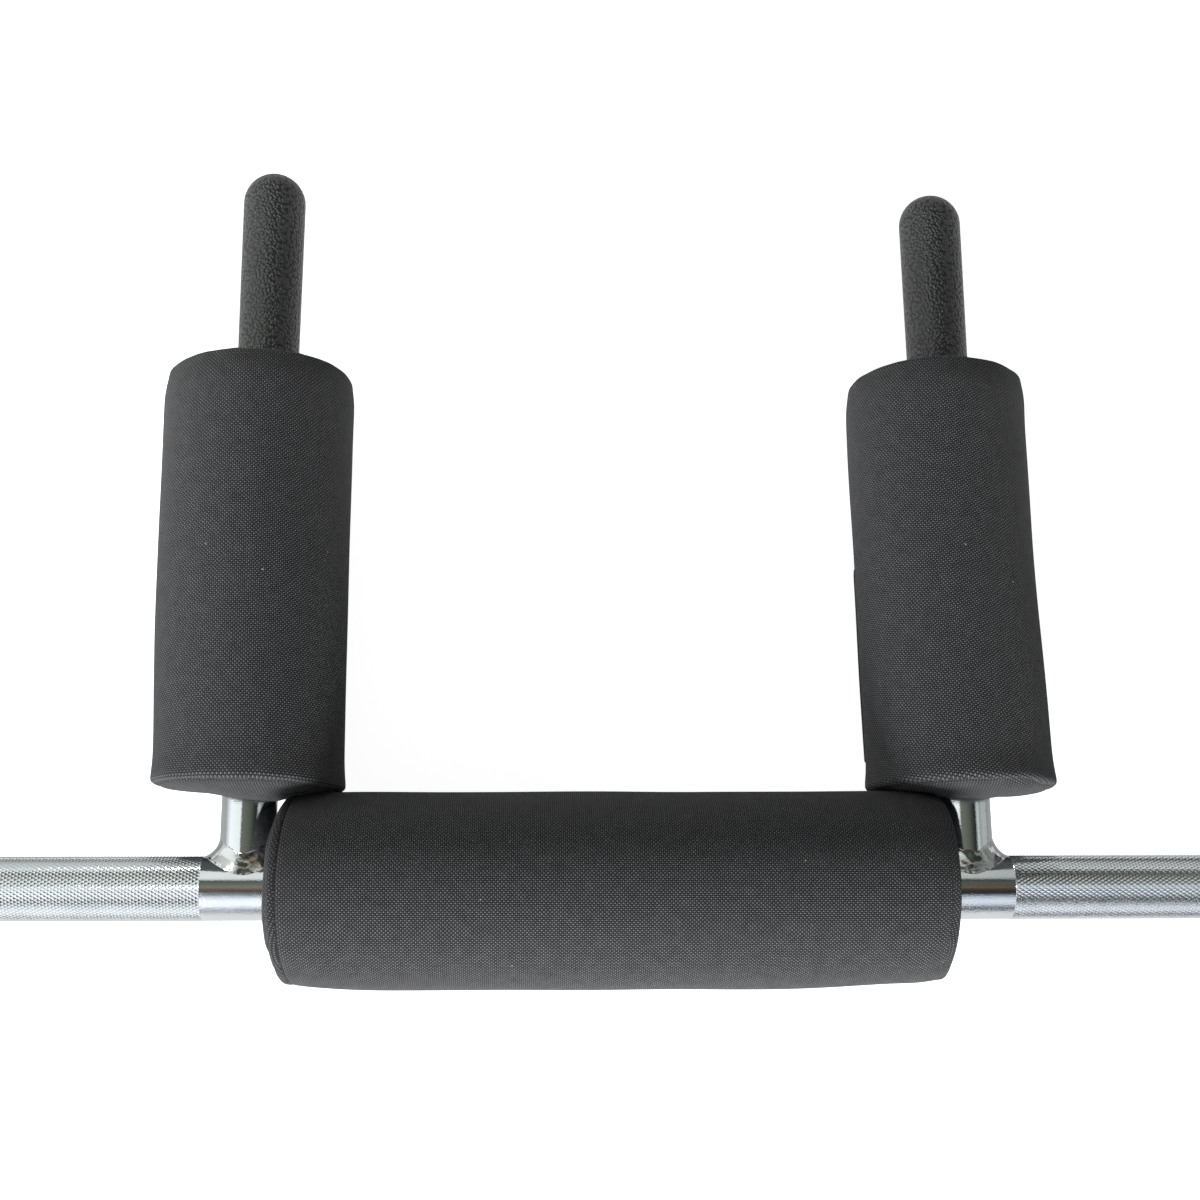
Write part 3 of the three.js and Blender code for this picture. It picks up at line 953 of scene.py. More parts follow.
@dataclass
class PlateSleeve:
    """One turning sleeve: the tube for the plates, its collar, and what closes its end."""

    side: Side
    radius: float = 25.0
    length: float = 445.0
    collar_width: float = 30.0
    collar_radius: float = 39.0
    hub_radius: float = 31.0
    flange_width: float = 17.0
    edge: float = 1.5
    wall: float = 4.0
    housing_radius: float = 18.25
    bore_radius: float = 16.75
    ledges: tuple[float, float] = (709.45, 1044.65)
    recess_floor: float = 1090.7
    cap_place: float = 1091.0
    cap_thickness: float = 6.0
    cap_dish: float = 2.0
    cap_rim: float = 3.5
    ring_place: float = 1097.3
    ring_thickness: float = 2.0
    ring_height: float = 2.2
    ring_opening: float = 50.0
    ear_radius: float = 3.0
    ear_hole: float = 1.2
    steps: int = 96

    @property
    def body(self) -> str:
        """The body that turns."""
        return f"{self.side.label}_turning_sleeve"

    def place(self) -> Matrix:
        """The move from the right end, where every piece is turned, to this end."""
        return Matrix.Rotation(0.0 if self.side is Side.RIGHT else math.pi, 4, "Z")

    def turn(self, name: str, outline: Outline, rounding: float, is_closed: bool) -> Object:
        """Turns one piece of the sleeve on the shaft's axis.

        Args:
            name: the piece's name without its side.
            outline: the outline at the right end of the bar.
            rounding: the radius of its corners.
            is_closed: whether the outline closes on itself.

        Returns:
            The piece, at its own end of the bar.
        """
        centre = Vector((0, 0, AXIS_HEIGHT))
        piece = spin_outline(f"{self.side.label}_{name}", outline, Axis.ALONG_BAR, centre, self.steps,
                             is_closed=is_closed, edge_round=rounding)
        piece.data.transform(self.place())
        smooth(piece, 35.0)
        return piece

    def build(self, chrome: Material, plastic: Material, steel: Material) -> None:
        """Builds the tube, the collar, the end cap and its ring.

        Args:
            chrome: the tube's and the collar's plate.
            plastic: the end cap's.
            steel: the ring's.
        """
        label = self.side.label
        tube = self.turn("plate_sleeve", self.tube_outline(), 0.25, True)
        hand_over(tube, chrome, self.body, [f"{label}_sleeve"])
        collar = self.turn("plate_collar", self.collar_outline(), 0.6, True)
        hand_over(collar, chrome, self.body, [f"{label}_collar"])
        cap = self.turn("sleeve_cap", self.cap_outline(), 0.4, False)
        hand_over(cap, plastic, self.body, [f"{label}_end_cap"])
        ring = self.build_ring()
        hand_over(ring, steel, self.body, [f"{label}_cap_ring"])

    def tube_outline(self) -> Outline:
        """The tube's wall, with the housings, the ledges and the cap's recess."""
        end = COLLAR_FACE + self.length
        recess = self.radius - self.wall
        groove = recess + 1.5
        ring_end = self.ring_place + self.ring_thickness
        inner_ledge, outer_ledge = self.ledges
        return [
            (self.radius, COLLAR_FACE), (self.radius, end - self.edge), (self.radius - self.edge, end),
            (recess, end), (recess, ring_end + 0.3), (groove, ring_end + 0.3), (groove, self.ring_place - 0.3),
            (recess, self.ring_place - 0.3), (recess, self.recess_floor), (self.housing_radius, self.recess_floor),
            (self.housing_radius, outer_ledge), (self.bore_radius, outer_ledge), (self.bore_radius, inner_ledge),
            (self.housing_radius, inner_ledge), (self.housing_radius, COLLAR_FACE),
        ]

    def collar_outline(self) -> Outline:
        """The collar: a hub, and the flange that the plates rest against."""
        bore, hub, flange = self.radius + 0.3, self.hub_radius, self.collar_radius
        face = COLLAR_FACE + self.collar_width
        flange_start = face - self.flange_width
        return [
            (bore, COLLAR_FACE), (hub - self.edge, COLLAR_FACE), (hub, COLLAR_FACE + self.edge),
            (hub, flange_start - self.edge), (hub + self.edge, flange_start), (flange - self.edge, flange_start),
            (flange, flange_start + self.edge), (flange, face - self.edge), (flange - self.edge, face), (bore, face),
        ]

    def cap_outline(self) -> Outline:
        """The end cap, with a raised rim round its dished face."""
        radius = self.radius - self.wall - 0.3
        face = self.cap_place + self.cap_thickness
        rim = radius - self.cap_rim
        return [(0, self.cap_place), (radius, self.cap_place), (radius, face), (rim, face),
                (rim - self.cap_dish, face - self.cap_dish), (0, face - self.cap_dish)]

    def build_ring(self) -> Object:
        """Bends the spring ring over the cap, with an ear and a plier hole at each end.

        Returns:
            The ring, at its own end of the bar.
        """
        recess = self.radius - self.wall
        inner, outer = recess - self.ring_height, recess + 1.2
        half_gap = math.radians(self.ring_opening) / 2
        start = self.ring_place
        deselect_all()
        bpy.ops.mesh.primitive_plane_add(size=MM)
        piece = name_new(f"{self.side.label}_spring_ring")
        section = [(inner, start), (outer, start), (outer, start + self.ring_thickness),
                   (inner, start + self.ring_thickness)]
        for vertex, (radius, along) in zip(piece.data.vertices, (section[0], section[1], section[3], section[2])):
            vertex.co = Vector((along, radius * math.sin(half_gap), AXIS_HEIGHT - radius * math.cos(half_gap))) * MM
        edit(piece)
        bpy.ops.mesh.select_all(action="SELECT")
        bpy.ops.mesh.spin(steps=48, angle=TURN - 2 * half_gap, center=(0, 0, AXIS_HEIGHT * MM), axis=(1, 0, 0))
        bpy.ops.mesh.select_all(action="SELECT")
        bpy.ops.mesh.remove_doubles(threshold=MERGE_GAP * MM)
        close_edit()
        for side in (-1, 1):
            self.add_ear(piece, side, inner - self.ear_radius / 2, half_gap)
        bevel = piece.modifiers.new("edge", "BEVEL")
        bevel.width, bevel.segments, bevel.limit_method = 0.15 * MM, 2, "ANGLE"
        apply_modifiers(piece)
        face_outwards(piece)
        piece.data.transform(self.place())
        smooth(piece, 35.0)
        return piece

    def add_ear(self, ring: Object, side: int, reach: float, half_gap: float) -> None:
        """Joins one drilled ear to the ring.

        Args:
            ring: the ring.
            side: -1 or 1, for the two ends of the ring.
            reach: the ear's distance from the axis.
            half_gap: half the ring's opening, in radians.
        """
        middle = self.ring_place + self.ring_thickness / 2
        place = Vector((middle, side * reach * math.sin(half_gap), AXIS_HEIGHT - reach * math.cos(half_gap))) * MM
        for radius, depth, operation in ((self.ear_radius, self.ring_thickness, "UNION"),
                                         (self.ear_hole, self.ring_thickness * 3, "DIFFERENCE")):
            deselect_all()
            bpy.ops.mesh.primitive_cylinder_add(vertices=32, radius=radius * MM, depth=depth * MM,
                                                location=place, rotation=(0, math.pi / 2, 0))
            tool = bpy.context.object
            cut = ring.modifiers.new(operation, "BOOLEAN")
            cut.object, cut.operation, cut.solver = tool, operation, "EXACT"
            apply_modifiers(ring)
            bpy.data.objects.remove(tool)


# The pads

@dataclass(frozen=True)
class Dent:
    """A soft dent, swell or tuck in a cover: where it is, how deep, and how far it spreads.

    On the skin its place is in millimetres along the pad, and on an end panel a share of the way out.
    """

    angle: float
    place: float
    depth: float
    angle_spread: float
    place_spread: float

    def at(self, angle: float, place: float) -> float:
        """How far it moves the cloth at an angle and a place, in millimetres."""
        around = turn_between(angle, self.angle) / self.angle_spread
        along = (place - self.place) / self.place_spread
        return self.depth * math.exp(-around ** 2 - along ** 2)


@dataclass(frozen=True)
class Lean:
    """A lean of an end's seam: the side that stands out most, and by how much."""

    angle: float
    reach: float

    def at(self, angle: float) -> float:
        """How far the seam stands out at an angle, in millimetres."""
        return self.reach * max(0.0, math.cos(math.radians(angle - self.angle)))


@dataclass
class Pad:
    """A foam roll in a sewn cloth cover, split along its hidden side and closed by a flap.

    Places run from the near end, at zero, to the far end. Angles are in degrees from straight up,
    and grow towards +X on a shoulder pad and towards -Y on the neck pad.
    """

    name: str
    axis: Axis
    start: Vector
    length: float
    near_radius: float
    far_radius: float
    shift: tuple[float, float]
    near_bore: float
    far_bore: float
    hidden_angle: float
    near_set_back: float = 0.0
    near_leans: tuple[Lean, ...] = ()
    far_leans: tuple[Lean, ...] = ()
    folds: tuple[Dent, ...] = ()
    near_push: float = 0.0
    near_push_lean: float = 0.0
    near_push_angle: float = 0.0
    near_fade: float = 60.0
    near_bulge: float = 4.2
    far_bulge: float = 4.2
    bore_dip: float = 1.0
    near_flare: float = 0.0
    far_round: float = 2.5
    weave_turn: float = 0.0
    panel_turn: float = 0.0
    dents: tuple[Dent, ...] = ()
    seed: float = 0.0
    rings_round: int = 96
    ring_pitch: float = 5.2
    cover_wall: float = 1.2
    seam_depth: float = 1.6
    wrap: float = 0.0
    wrap_groove: float = 1.8
    slit_width: float = 1.6
    cloth_frames: int = 14
    cloth_cap: float = 1.6
    cloth_share: float = 0.55
    cloth_held: float = 2.5
    end_zone: float = 17.0
    bore_rings: int = 12
    bump_height: float = 0.55
    pucker_height: float = 0.8
    foam_inset: float = 1.4

    @property
    def across(self) -> Vector:
        """The direction that angles grow towards."""
        return Vector((1, 0, 0)) if self.axis is Axis.ALONG_ARM else Vector((0, -1, 0))

    def radius_at(self, place: float) -> float:
        """The pad's radius at a place along it."""
        share = min(1.0, max(0.0, place / self.length))
        return self.near_radius + (self.far_radius - self.near_radius) * share

    def locate(self, point: Vector) -> tuple[float, float, float]:
        """Turns a point, in metres, to angle in degrees, radius and place in millimetres."""
        local = point / MM - self.start
        out, high = local.dot(self.across), local.z
        return math.degrees(math.atan2(out, high)), math.hypot(out, high), local.dot(self.axis.vector)

    def point(self, angle: float, radius: float, place: float) -> Vector:
        """Turns angle, radius and place to a point in metres."""
        turned = math.radians(angle)
        out = self.across * math.sin(turned) + UP * math.cos(turned)
        return (self.start + self.axis.vector * place + out * radius) * MM

    def outline(self) -> Outline:
        """The closed outline of cover and bore, from the near hole round the skin and back."""
        near, far = self.near_radius, self.far_radius
        straight = self.length - 2 * self.end_zone
        count = round(straight / self.ring_pitch)
        middle = [self.end_zone + straight / count * index for index in range(count + 1)]
        edge_places = [0.9, 2.0, 3.6, 6.0, 9.2, 13.0]
        if self.wrap:
            edge_places = [0.9, 2.0, self.wrap - 0.8, self.wrap, self.wrap + 0.8, self.wrap + 2.4, 9.6, 13.0]
        barrel = [(self.radius_at(p) - self.wrap_groove * (self.wrap == min(p, self.length - p)), p)
                  for p in edge_places + middle + [self.length - p for p in reversed(edge_places)]]
        near_panel = self.panel(self.near_bore, near, 0.0, -1, self.near_bulge)
        far_panel = self.panel(self.far_bore, far, self.length, 1, self.far_bulge)
        hole_start, hole_end = near_panel[0][1], far_panel[0][1]
        bore = [(self.far_bore + (self.near_bore - self.far_bore) * index / self.bore_rings,
                 hole_end + (hole_start - hole_end) * index / self.bore_rings)
                for index in range(1, self.bore_rings)]
        return [*near_panel, (near - self.seam_depth, 0.0), *barrel,
                (far - self.seam_depth, self.length), *reversed(far_panel), *bore]

    def panel(self, bore: float, rim: float, seam: float, outward: int, bulge: float) -> Outline:
        """One end panel, from its hole out to the seam.

        Args:
            bore: the hole's radius.
            rim: the skin's radius.
            seam: the seam's place.
            outward: -1 at the near end, 1 at the far end.
            bulge: how far the panel stands out past the seam.

        Returns:
            Its outline, without the seam.
        """
        shares = [0.0, 0.06, 0.15, 0.26, 0.38, 0.5, 0.62, 0.73, 0.82, 0.89, 0.94]
        points = []
        for share in shares:
            rise = bulge * (1 - share ** 3) - self.bore_dip * (1 - share) ** 4
            points.append((bore + (rim - bore) * share, seam + outward * rise))
        points.append((rim - self.seam_depth - 0.9, seam + outward * (0.5 + bulge * 0.12)))
        return points

    def build_cover(self, cloth: Material) -> Object:
        """Spins the cover, lets it settle as cloth, and sews, splits and thickens it.

        Args:
            cloth: the woven nylon.

        Returns:
            The finished cover.
        """
        name = f"{self.name}_woven_cover"
        cover = spin_outline(name, self.outline(), self.axis, self.start, self.rings_round, is_closed=True)
        self.map_weave(cover)
        slit = self.find_slit(cover)
        self.shape(cover)
        self.settle(cover)
        self.rest_on_floor(cover)
        self.clear_neighbour(cover, self.cover_wall + 0.4)
        self.split(cover, slit)
        wall = cover.modifiers.new("wall", "SOLIDIFY")
        wall.thickness, wall.offset = self.cover_wall * MM, 1.0
        soft = cover.modifiers.new("soft", "SUBSURF")
        soft.levels = soft.render_levels = 1
        apply_modifiers(cover)
        for vertex in cover.data.vertices:
            vertex.co.z = max(vertex.co.z, FLOOR_GAP * MM)
        smooth(cover, 65.0)
        hand_over(cover, cloth, BAR, [f"{self.name}_pad_cover"])
        return cover

    def map_weave(self, cover: Object) -> None:
        """Lays the weave on the cover: round the barrel, and straight over each end panel.

        Args:
            cover: the spun cover, before it is shaped.
        """
        layer = cover.data.uv_layers.new(name=WEAVE_MAP)
        for face in cover.data.polygons:
            middle_angle, middle_radius, middle_place = self.locate(face.center)
            from_end = min(middle_place, self.length - middle_place)
            is_panel = middle_radius < self.radius_at(middle_place) - self.seam_depth or from_end < self.wrap
            turned = math.radians(self.weave_turn + self.panel_turn * is_panel)
            for loop in face.loop_indices:
                corner = cover.data.vertices[cover.data.loops[loop].vertex_index].co
                angle, radius, place = self.locate(corner)
                angle += 360 * round((middle_angle - angle) / 360)
                if is_panel:
                    flat = math.radians(angle)
                    reach = radius + max(0.0, min(place, self.length - place))
                    u, v = reach * math.sin(flat), reach * math.cos(flat)
                else:
                    u, v = math.radians(angle) * self.near_radius, place
                layer.data[loop].uv = (u * math.cos(turned) - v * math.sin(turned),
                                       u * math.sin(turned) + v * math.cos(turned))

    def shape(self, roll: Object) -> None:
        """Moves a plain roll to the photographed shape.

        Args:
            roll: the spun cover or foam.
        """
        for vertex in roll.data.vertices:
            angle, radius, place = self.locate(vertex.co)
            bore = self.near_bore if place < self.length / 2 else self.far_bore
            skin_share = min(1.0, max(0.0, (radius - bore) / (self.radius_at(place) - bore)))
            radius += skin_share * self.swell(angle, place)
            near_share = max(0.0, 1 - max(place, 0.0) / self.near_fade)
            place -= self.end_push(angle, skin_share) * near_share ** 1.5
            far_share = max(0.0, 1 - max(self.length - place, 0.0) / self.near_fade)
            place += sum(lean.at(angle) for lean in self.far_leans) * skin_share * far_share ** 1.5
            vertex.co = self.point(angle, radius, place)
            along = min(1.0, max(0.0, place / self.length))
            shift = self.shift[0] + (self.shift[1] - self.shift[0]) * along
            vertex.co += self.across * (shift * skin_share * MM)

    def end_push(self, angle: float, skin_share: float) -> float:
        """How far the near end is pushed out past its seam's plane, in millimetres.

        Args:
            angle: the angle round the pad.
            skin_share: 0 at the hole, 1 at the skin.

        Returns:
            The push: at the skin it leans the seam, and at the hole it crowns the panel.
        """
        seam = sum(lean.at(angle) for lean in self.near_leans) - self.near_set_back
        crown = self.near_push + self.near_push_lean * math.cos(math.radians(angle - self.near_push_angle))
        tuck = sum(fold.at(angle, skin_share) for fold in self.folds)
        return seam * skin_share + crown * (1 - skin_share) - tuck

    def clear_neighbour(self, roll: Object, gap: float) -> None:
        """Presses a shoulder pad's near end back from the neck pad, and the neck pad's ends back from the arms.

        Args:
            roll: the cover or the foam.
            gap: how far it stays off, in millimetres.
        """
        if self.axis is Axis.ALONG_BAR:
            self.clear_arms(roll, ARM_RADIUS + gap)
            return
        for vertex in roll.data.vertices:
            beside = max(0.0, abs(vertex.co.x) / MM - NECK_SEAM + 2) / 6
            room = NECK_RADIUS * math.sqrt(max(0.0, 1 - beside ** 2)) + gap
            height = vertex.co.z / MM - AXIS_HEIGHT
            if abs(height) < room:
                vertex.co.y = max(vertex.co.y, math.sqrt(room ** 2 - height ** 2) * MM)

    @staticmethod
    def clear_arms(roll: Object, room: float) -> None:
        """Keeps the ends of the neck pad off the arms.

        Args:
            roll: the cover or the foam.
            room: the radius that is kept free round an arm's axis, in millimetres.
        """
        for vertex in roll.data.vertices:
            height = vertex.co.z / MM - AXIS_HEIGHT
            if vertex.co.y > 10 * MM and abs(height) < room:
                limit = (ARM_PLACE - math.sqrt(room ** 2 - height ** 2)) * MM
                vertex.co.x = max(-limit, min(limit, vertex.co.x))

    def swell(self, angle: float, place: float) -> float:
        """How far the skin stands out from the plain roll, in millimetres."""
        from_far = max(0.0, self.length - place)
        outward = self.near_flare * math.exp(-(max(place, 0.0) / 9) ** 2)
        outward -= self.far_round * math.exp(-(from_far / 8) ** 2)
        outward += sum(dent.at(angle, place) for dent in self.dents)
        turned = math.radians(angle)
        around = Vector((math.cos(turned) * 1.6, math.sin(turned) * 1.6, place / 55 + self.seed))
        outward += self.bump_height * noise.noise(around)
        seam_reach = min(max(place, 0.0), from_far)
        pucker = Vector((math.cos(turned) * 5, math.sin(turned) * 5, self.seed * 3 + place / 40))
        outward += self.pucker_height * noise.noise(pucker) * math.exp(-seam_reach / 9)
        return outward

    def settle(self, cover: Object) -> None:
        """Blows the cover up as cloth over its seams, and caps how far it moves.

        Args:
            cover: the shaped cover.
        """
        before = [vertex.co.copy() for vertex in cover.data.vertices]
        held = cover.vertex_groups.new(name="held")
        held_radius = max(self.near_bore, self.far_bore) + self.cloth_held
        inner = [vertex.index for vertex in cover.data.vertices if self.locate(vertex.co)[1] < held_radius]
        held.add(inner, 1.0, "REPLACE")
        cloth = cover.modifiers.new("cloth", "CLOTH")
        cloth.settings.quality = 6
        cloth.settings.mass = 0.2
        cloth.settings.tension_stiffness = cloth.settings.compression_stiffness = 18
        cloth.settings.shear_stiffness = 6
        cloth.settings.bending_stiffness = 1.2
        cloth.settings.vertex_group_mass = held.name
        cloth.settings.use_pressure = True
        cloth.settings.uniform_pressure_force = 3.5
        cloth.settings.shrink_min = -0.006
        cloth.settings.effector_weights.gravity = 0
        cloth.collision_settings.use_collision = False
        cloth.point_cache.frame_start, cloth.point_cache.frame_end = 1, self.cloth_frames
        for number in range(1, self.cloth_frames + 1):
            bpy.context.scene.frame_set(number)
        apply_modifiers(cover)
        bpy.context.scene.frame_set(1)
        for vertex, start in zip(cover.data.vertices, before):
            moved = (vertex.co - start) * self.cloth_share
            if moved.length > self.cloth_cap * MM:
                moved *= self.cloth_cap * MM / moved.length
            vertex.co = start + moved
        cover.vertex_groups.clear()

    def rest_on_floor(self, cover: Object) -> None:
        """Flattens the underside where the pad lies on the floor.

        Args:
            cover: the settled cover.
        """
        floor = (self.cover_wall + FLOOR_GAP) * MM
        lowest = min(vertex.co.z for vertex in cover.data.vertices)
        for vertex in cover.data.vertices:
            under = max(0.0, (self.start.z - 15) * MM - vertex.co.z) / ((self.start.z - 15) * MM - lowest)
            vertex.co.z -= (lowest - floor + 0.4 * MM) * under
            vertex.co.z = max(vertex.co.z, floor)

    def find_slit(self, cover: Object) -> set[int]:
        """Finds the row of faces that the slit is cut along, while the cover is still a plain roll.

        Args:
            cover: the spun cover.

        Returns:
            The faces' numbers.
        """
        step = 360 / self.rings_round
        middle = round(self.hidden_angle / step - 0.5) * step + step / 2
        angles = {face.index: self.locate(face.center)[0] for face in cover.data.polygons}
        return {index for index, angle in angles.items() if abs(turn_between(angle, middle)) < step * 0.45}

    def split(self, cover: Object, slit: set[int]) -> None:
        """Draws the slit's lips together, and opens the slit and the bore.

        Args:
            cover: the settled cover, still one closed skin.
            slit: the faces along the slit.
        """
        uses = Counter(key for index in slit for key in cover.data.polygons[index].edge_keys)
        vertices = cover.data.vertices
        for first, second in (key for key, count in uses.items() if count == 2):
            middle = (vertices[first].co + vertices[second].co) / 2
            half = (vertices[second].co - vertices[first].co) / 2
            if half.length > self.slit_width / 2 * MM:
                half *= self.slit_width / 2 * MM / half.length
                vertices[first].co, vertices[second].co = middle - half, middle + half
        edit(cover)
        bpy.ops.mesh.select_mode(type="FACE")
        shape = bmesh.from_edit_mesh(cover.data)
        for face in shape.faces:
            _, radius, place = self.locate(face.calc_center_median())
            bore = self.near_bore + (self.far_bore - self.near_bore) * min(1.0, max(0.0, place / self.length))
            face.select_set(radius < bore + 0.4 or face.index in slit)
        bmesh.update_edit_mesh(cover.data)
        bpy.ops.mesh.delete(type="FACE")
        close_edit()

    def build_foam(self, foam: Material) -> Object:
        """Turns the foam roll, bored for its tube.

        Args:
            foam: its material.

        Returns:
            The finished foam.
        """
        inset = self.foam_inset
        outline = [(self.near_bore + 0.2, inset), (self.near_radius - inset - 3, inset),
                   (self.near_radius - inset - 1, inset + 4), (self.far_radius - inset - 2, self.length - inset - 6),
                   (self.far_radius - inset - 4, self.length - inset), (self.far_bore + 0.2, self.length - inset)]
        name = f"{self.name}_foam_roll"
        piece = spin_outline(name, outline, self.axis, self.start, 64, is_closed=True, edge_round=1.5)
        self.shape(piece)
        self.clear_neighbour(piece, self.cover_wall + inset)
        for vertex in piece.data.vertices:
            vertex.co.z = max(vertex.co.z, (self.cover_wall + 0.6) * MM)
        smooth(piece)
        hand_over(piece, foam, BAR, [f"{self.name}_foam_core"])
        return piece


@dataclass
class Flap:
    """The closure flap over a pad's slit: a wrapped strip of tape with two sewn rows."""

    pad: Pad
    width: float = 30.0
    end_room: float = 14.0
    gap: float = 0.35
    thickness: float = 1.4
    row_inset: float = 2.6
    stitch_pitch: float = 4.0
    stitch_length: float = 2.8
    stitch_radius: float = 0.28

    def build(self, tape: Material, thread: Material, cover: Object) -> None:
        """Wraps the strip over the slit and sews it.

        Args:
            tape: the strip's material.
            thread: the stitches'.
            cover: the finished cover, which the strip lies on.
        """
        pad = self.pad
        length = pad.length - 2 * self.end_room
        deselect_all()
        bpy.ops.mesh.primitive_grid_add(x_subdivisions=12, y_subdivisions=72, size=1, location=(0, 0, 0))
        strip = name_new(f"{pad.name}_closure_flap")
        for vertex in strip.data.vertices:
            vertex.co = self.lay(vertex.co.x * self.width, (vertex.co.y + 0.5) * length + self.end_room)
        wrap = strip.modifiers.new("wrap", "SHRINKWRAP")
        wrap.target, wrap.wrap_method, wrap.wrap_mode = cover, "NEAREST_SURFACEPOINT", "OUTSIDE_SURFACE"
        wrap.offset = self.gap * MM
        ease = strip.modifiers.new("ease", "SMOOTH")
        ease.factor, ease.iterations = 0.5, 2
        apply_modifiers(strip)
        self.sew(strip, thread, length)
        wall = strip.modifiers.new("wall", "SOLIDIFY")
        wall.thickness, wall.offset = self.thickness * MM, self.outward_offset(strip)
        edge = strip.modifiers.new("edge", "BEVEL")
        edge.width, edge.segments, edge.limit_method = 0.4 * MM, 2, "ANGLE"
        apply_modifiers(strip)
        face_outwards(strip)
        smooth(strip, 50.0)
        hand_over(strip, tape, BAR, [f"{pad.name}_pad_flap"])

    def lay(self, across: float, place: float) -> Vector:
        """Puts a flat point of the strip just outside the cover."""
        radius = self.pad.radius_at(place) + 3
        return self.pad.point(self.pad.hidden_angle + math.degrees(across / radius), radius, place)

    def outward_offset(self, strip: Object) -> float:
        """Solidify's offset that thickens the strip away from the pad, whichever way its faces look."""
        face = strip.data.polygons[len(strip.data.polygons) // 2]
        angle, radius, place = self.pad.locate(face.center)
        outward = self.pad.point(angle, radius + 1, place) - face.center
        return 1.0 if face.normal.dot(outward) > 0 else -1.0

    def sew(self, strip: Object, thread: Material, length: float) -> None:
        """Models one stitch, and copies it along both long edges of the strip.

        Args:
            strip: the wrapped strip, before it is thickened.
            thread: the stitches' material.
            length: the strip's length.
        """
        stitches = []
        count = int((length - 8) / self.stitch_pitch)
        surface = [vertex.co.copy() for vertex in strip.data.vertices]
        for side in (-1, 1):
            for index in range(count + 1):
                place = self.end_room + 4 + index * self.stitch_pitch
                target = self.lay(side * (self.width / 2 - self.row_inset), place)
                nearest = min(surface, key=lambda at: (at - target).length_squared)
                _, radius, _ = self.pad.locate(nearest)
                angle, _, _ = self.pad.locate(target)
                stitches.append(self.pad.point(angle, radius + self.thickness + 0.05, place))
        deselect_all()
        bpy.ops.mesh.primitive_uv_sphere_add(segments=8, ring_count=5, radius=self.stitch_radius * MM)
        first = name_new(f"{self.pad.name}_flap_stitches")
        along = self.pad.axis.vector
        stretch = self.stitch_length / (2 * self.stitch_radius) - 1
        first.data.transform(Matrix.Scale(1 + stretch, 4, along))
        copies = [copy_piece(first, "stitch", Matrix.Translation(place)) for place in stitches]
        bpy.data.objects.remove(first)
        deselect_all()
        for stitch in copies:
            stitch.select_set(True)
        bpy.context.view_layer.objects.active = copies[0]
        bpy.ops.object.join()
        row = name_new(f"{self.pad.name}_flap_stitches")
        smooth(row, 80.0)
        hand_over(row, thread, BAR)


def shoulder_pad(side: Side) -> Pad:
    """The pad on one arm, with the radii and the lean that the photograph shows."""
    start = Vector((side.value * ARM_PLACE, 53.3, AXIS_HEIGHT))
    shared = dict(axis=Axis.ALONG_ARM, start=start, length=217.4, near_bore=14.3, far_bore=17.15,
                  hidden_angle=-side.value * 128.0, near_bulge=0.0, near_push_lean=4.2, far_round=1.8,
                  seam_depth=2.0)
    if side is Side.LEFT:
        waist = (Dent(-90, 112, 1.4, 60, 55), Dent(90, 230, 1.2, 50, 30))
        return Pad(name="left", near_radius=46.5, far_radius=48.6, shift=(-1.1, -3.6), seed=1.7, near_flare=0.9,
                   near_leans=(Lean(0, 4.2), Lean(180, -4.6), Lean(100, 3.2)), near_push=7.2,
                   near_push_angle=25.0, panel_turn=42.0, dents=waist, **shared)
    waist = (Dent(90, 105, -0.8, 50, 60), Dent(-90, 110, 0.3, 50, 60), Dent(80, 217, 1.6, 35, 16))
    return Pad(name="right", near_radius=45.9, far_radius=46.4, shift=(-0.6, -3.6), seed=5.2, near_flare=1.4,
               near_leans=(Lean(0, 4.2), Lean(180, -2.9), Lean(-100, 2.4), Lean(90, 1.8)), near_push=6.4,
               near_push_angle=5.0, folds=(Dent(30, 0.88, 5.0, 15, 0.07),), weave_turn=9.0, panel_turn=33.0,
               dents=waist, **shared)


def neck_pad() -> Pad:
    """The pad on the shaft between the arms."""
    corners = (Dent(108, 0, -2.8, 38, 26), Dent(108, 2 * NECK_SEAM - 14, -3.8, 38, 36))
    return Pad(name="neck", axis=Axis.ALONG_BAR, start=Vector((-NECK_SEAM, 0, AXIS_HEIGHT)), length=2 * NECK_SEAM,
               near_radius=47.9, far_radius=48.2, shift=(1.1, 1.1), near_bore=16.3, far_bore=16.3,
               hidden_angle=-128.0, bore_dip=7.4, near_flare=-1.0, far_round=2.0,
               near_set_back=3.9, near_leans=(Lean(8, 6.6),), far_leans=(Lean(-30, 4.2), Lean(70, 2.4)),
               wrap=4.2, seam_depth=2.4, dents=corners, seed=9.1)


# The studio

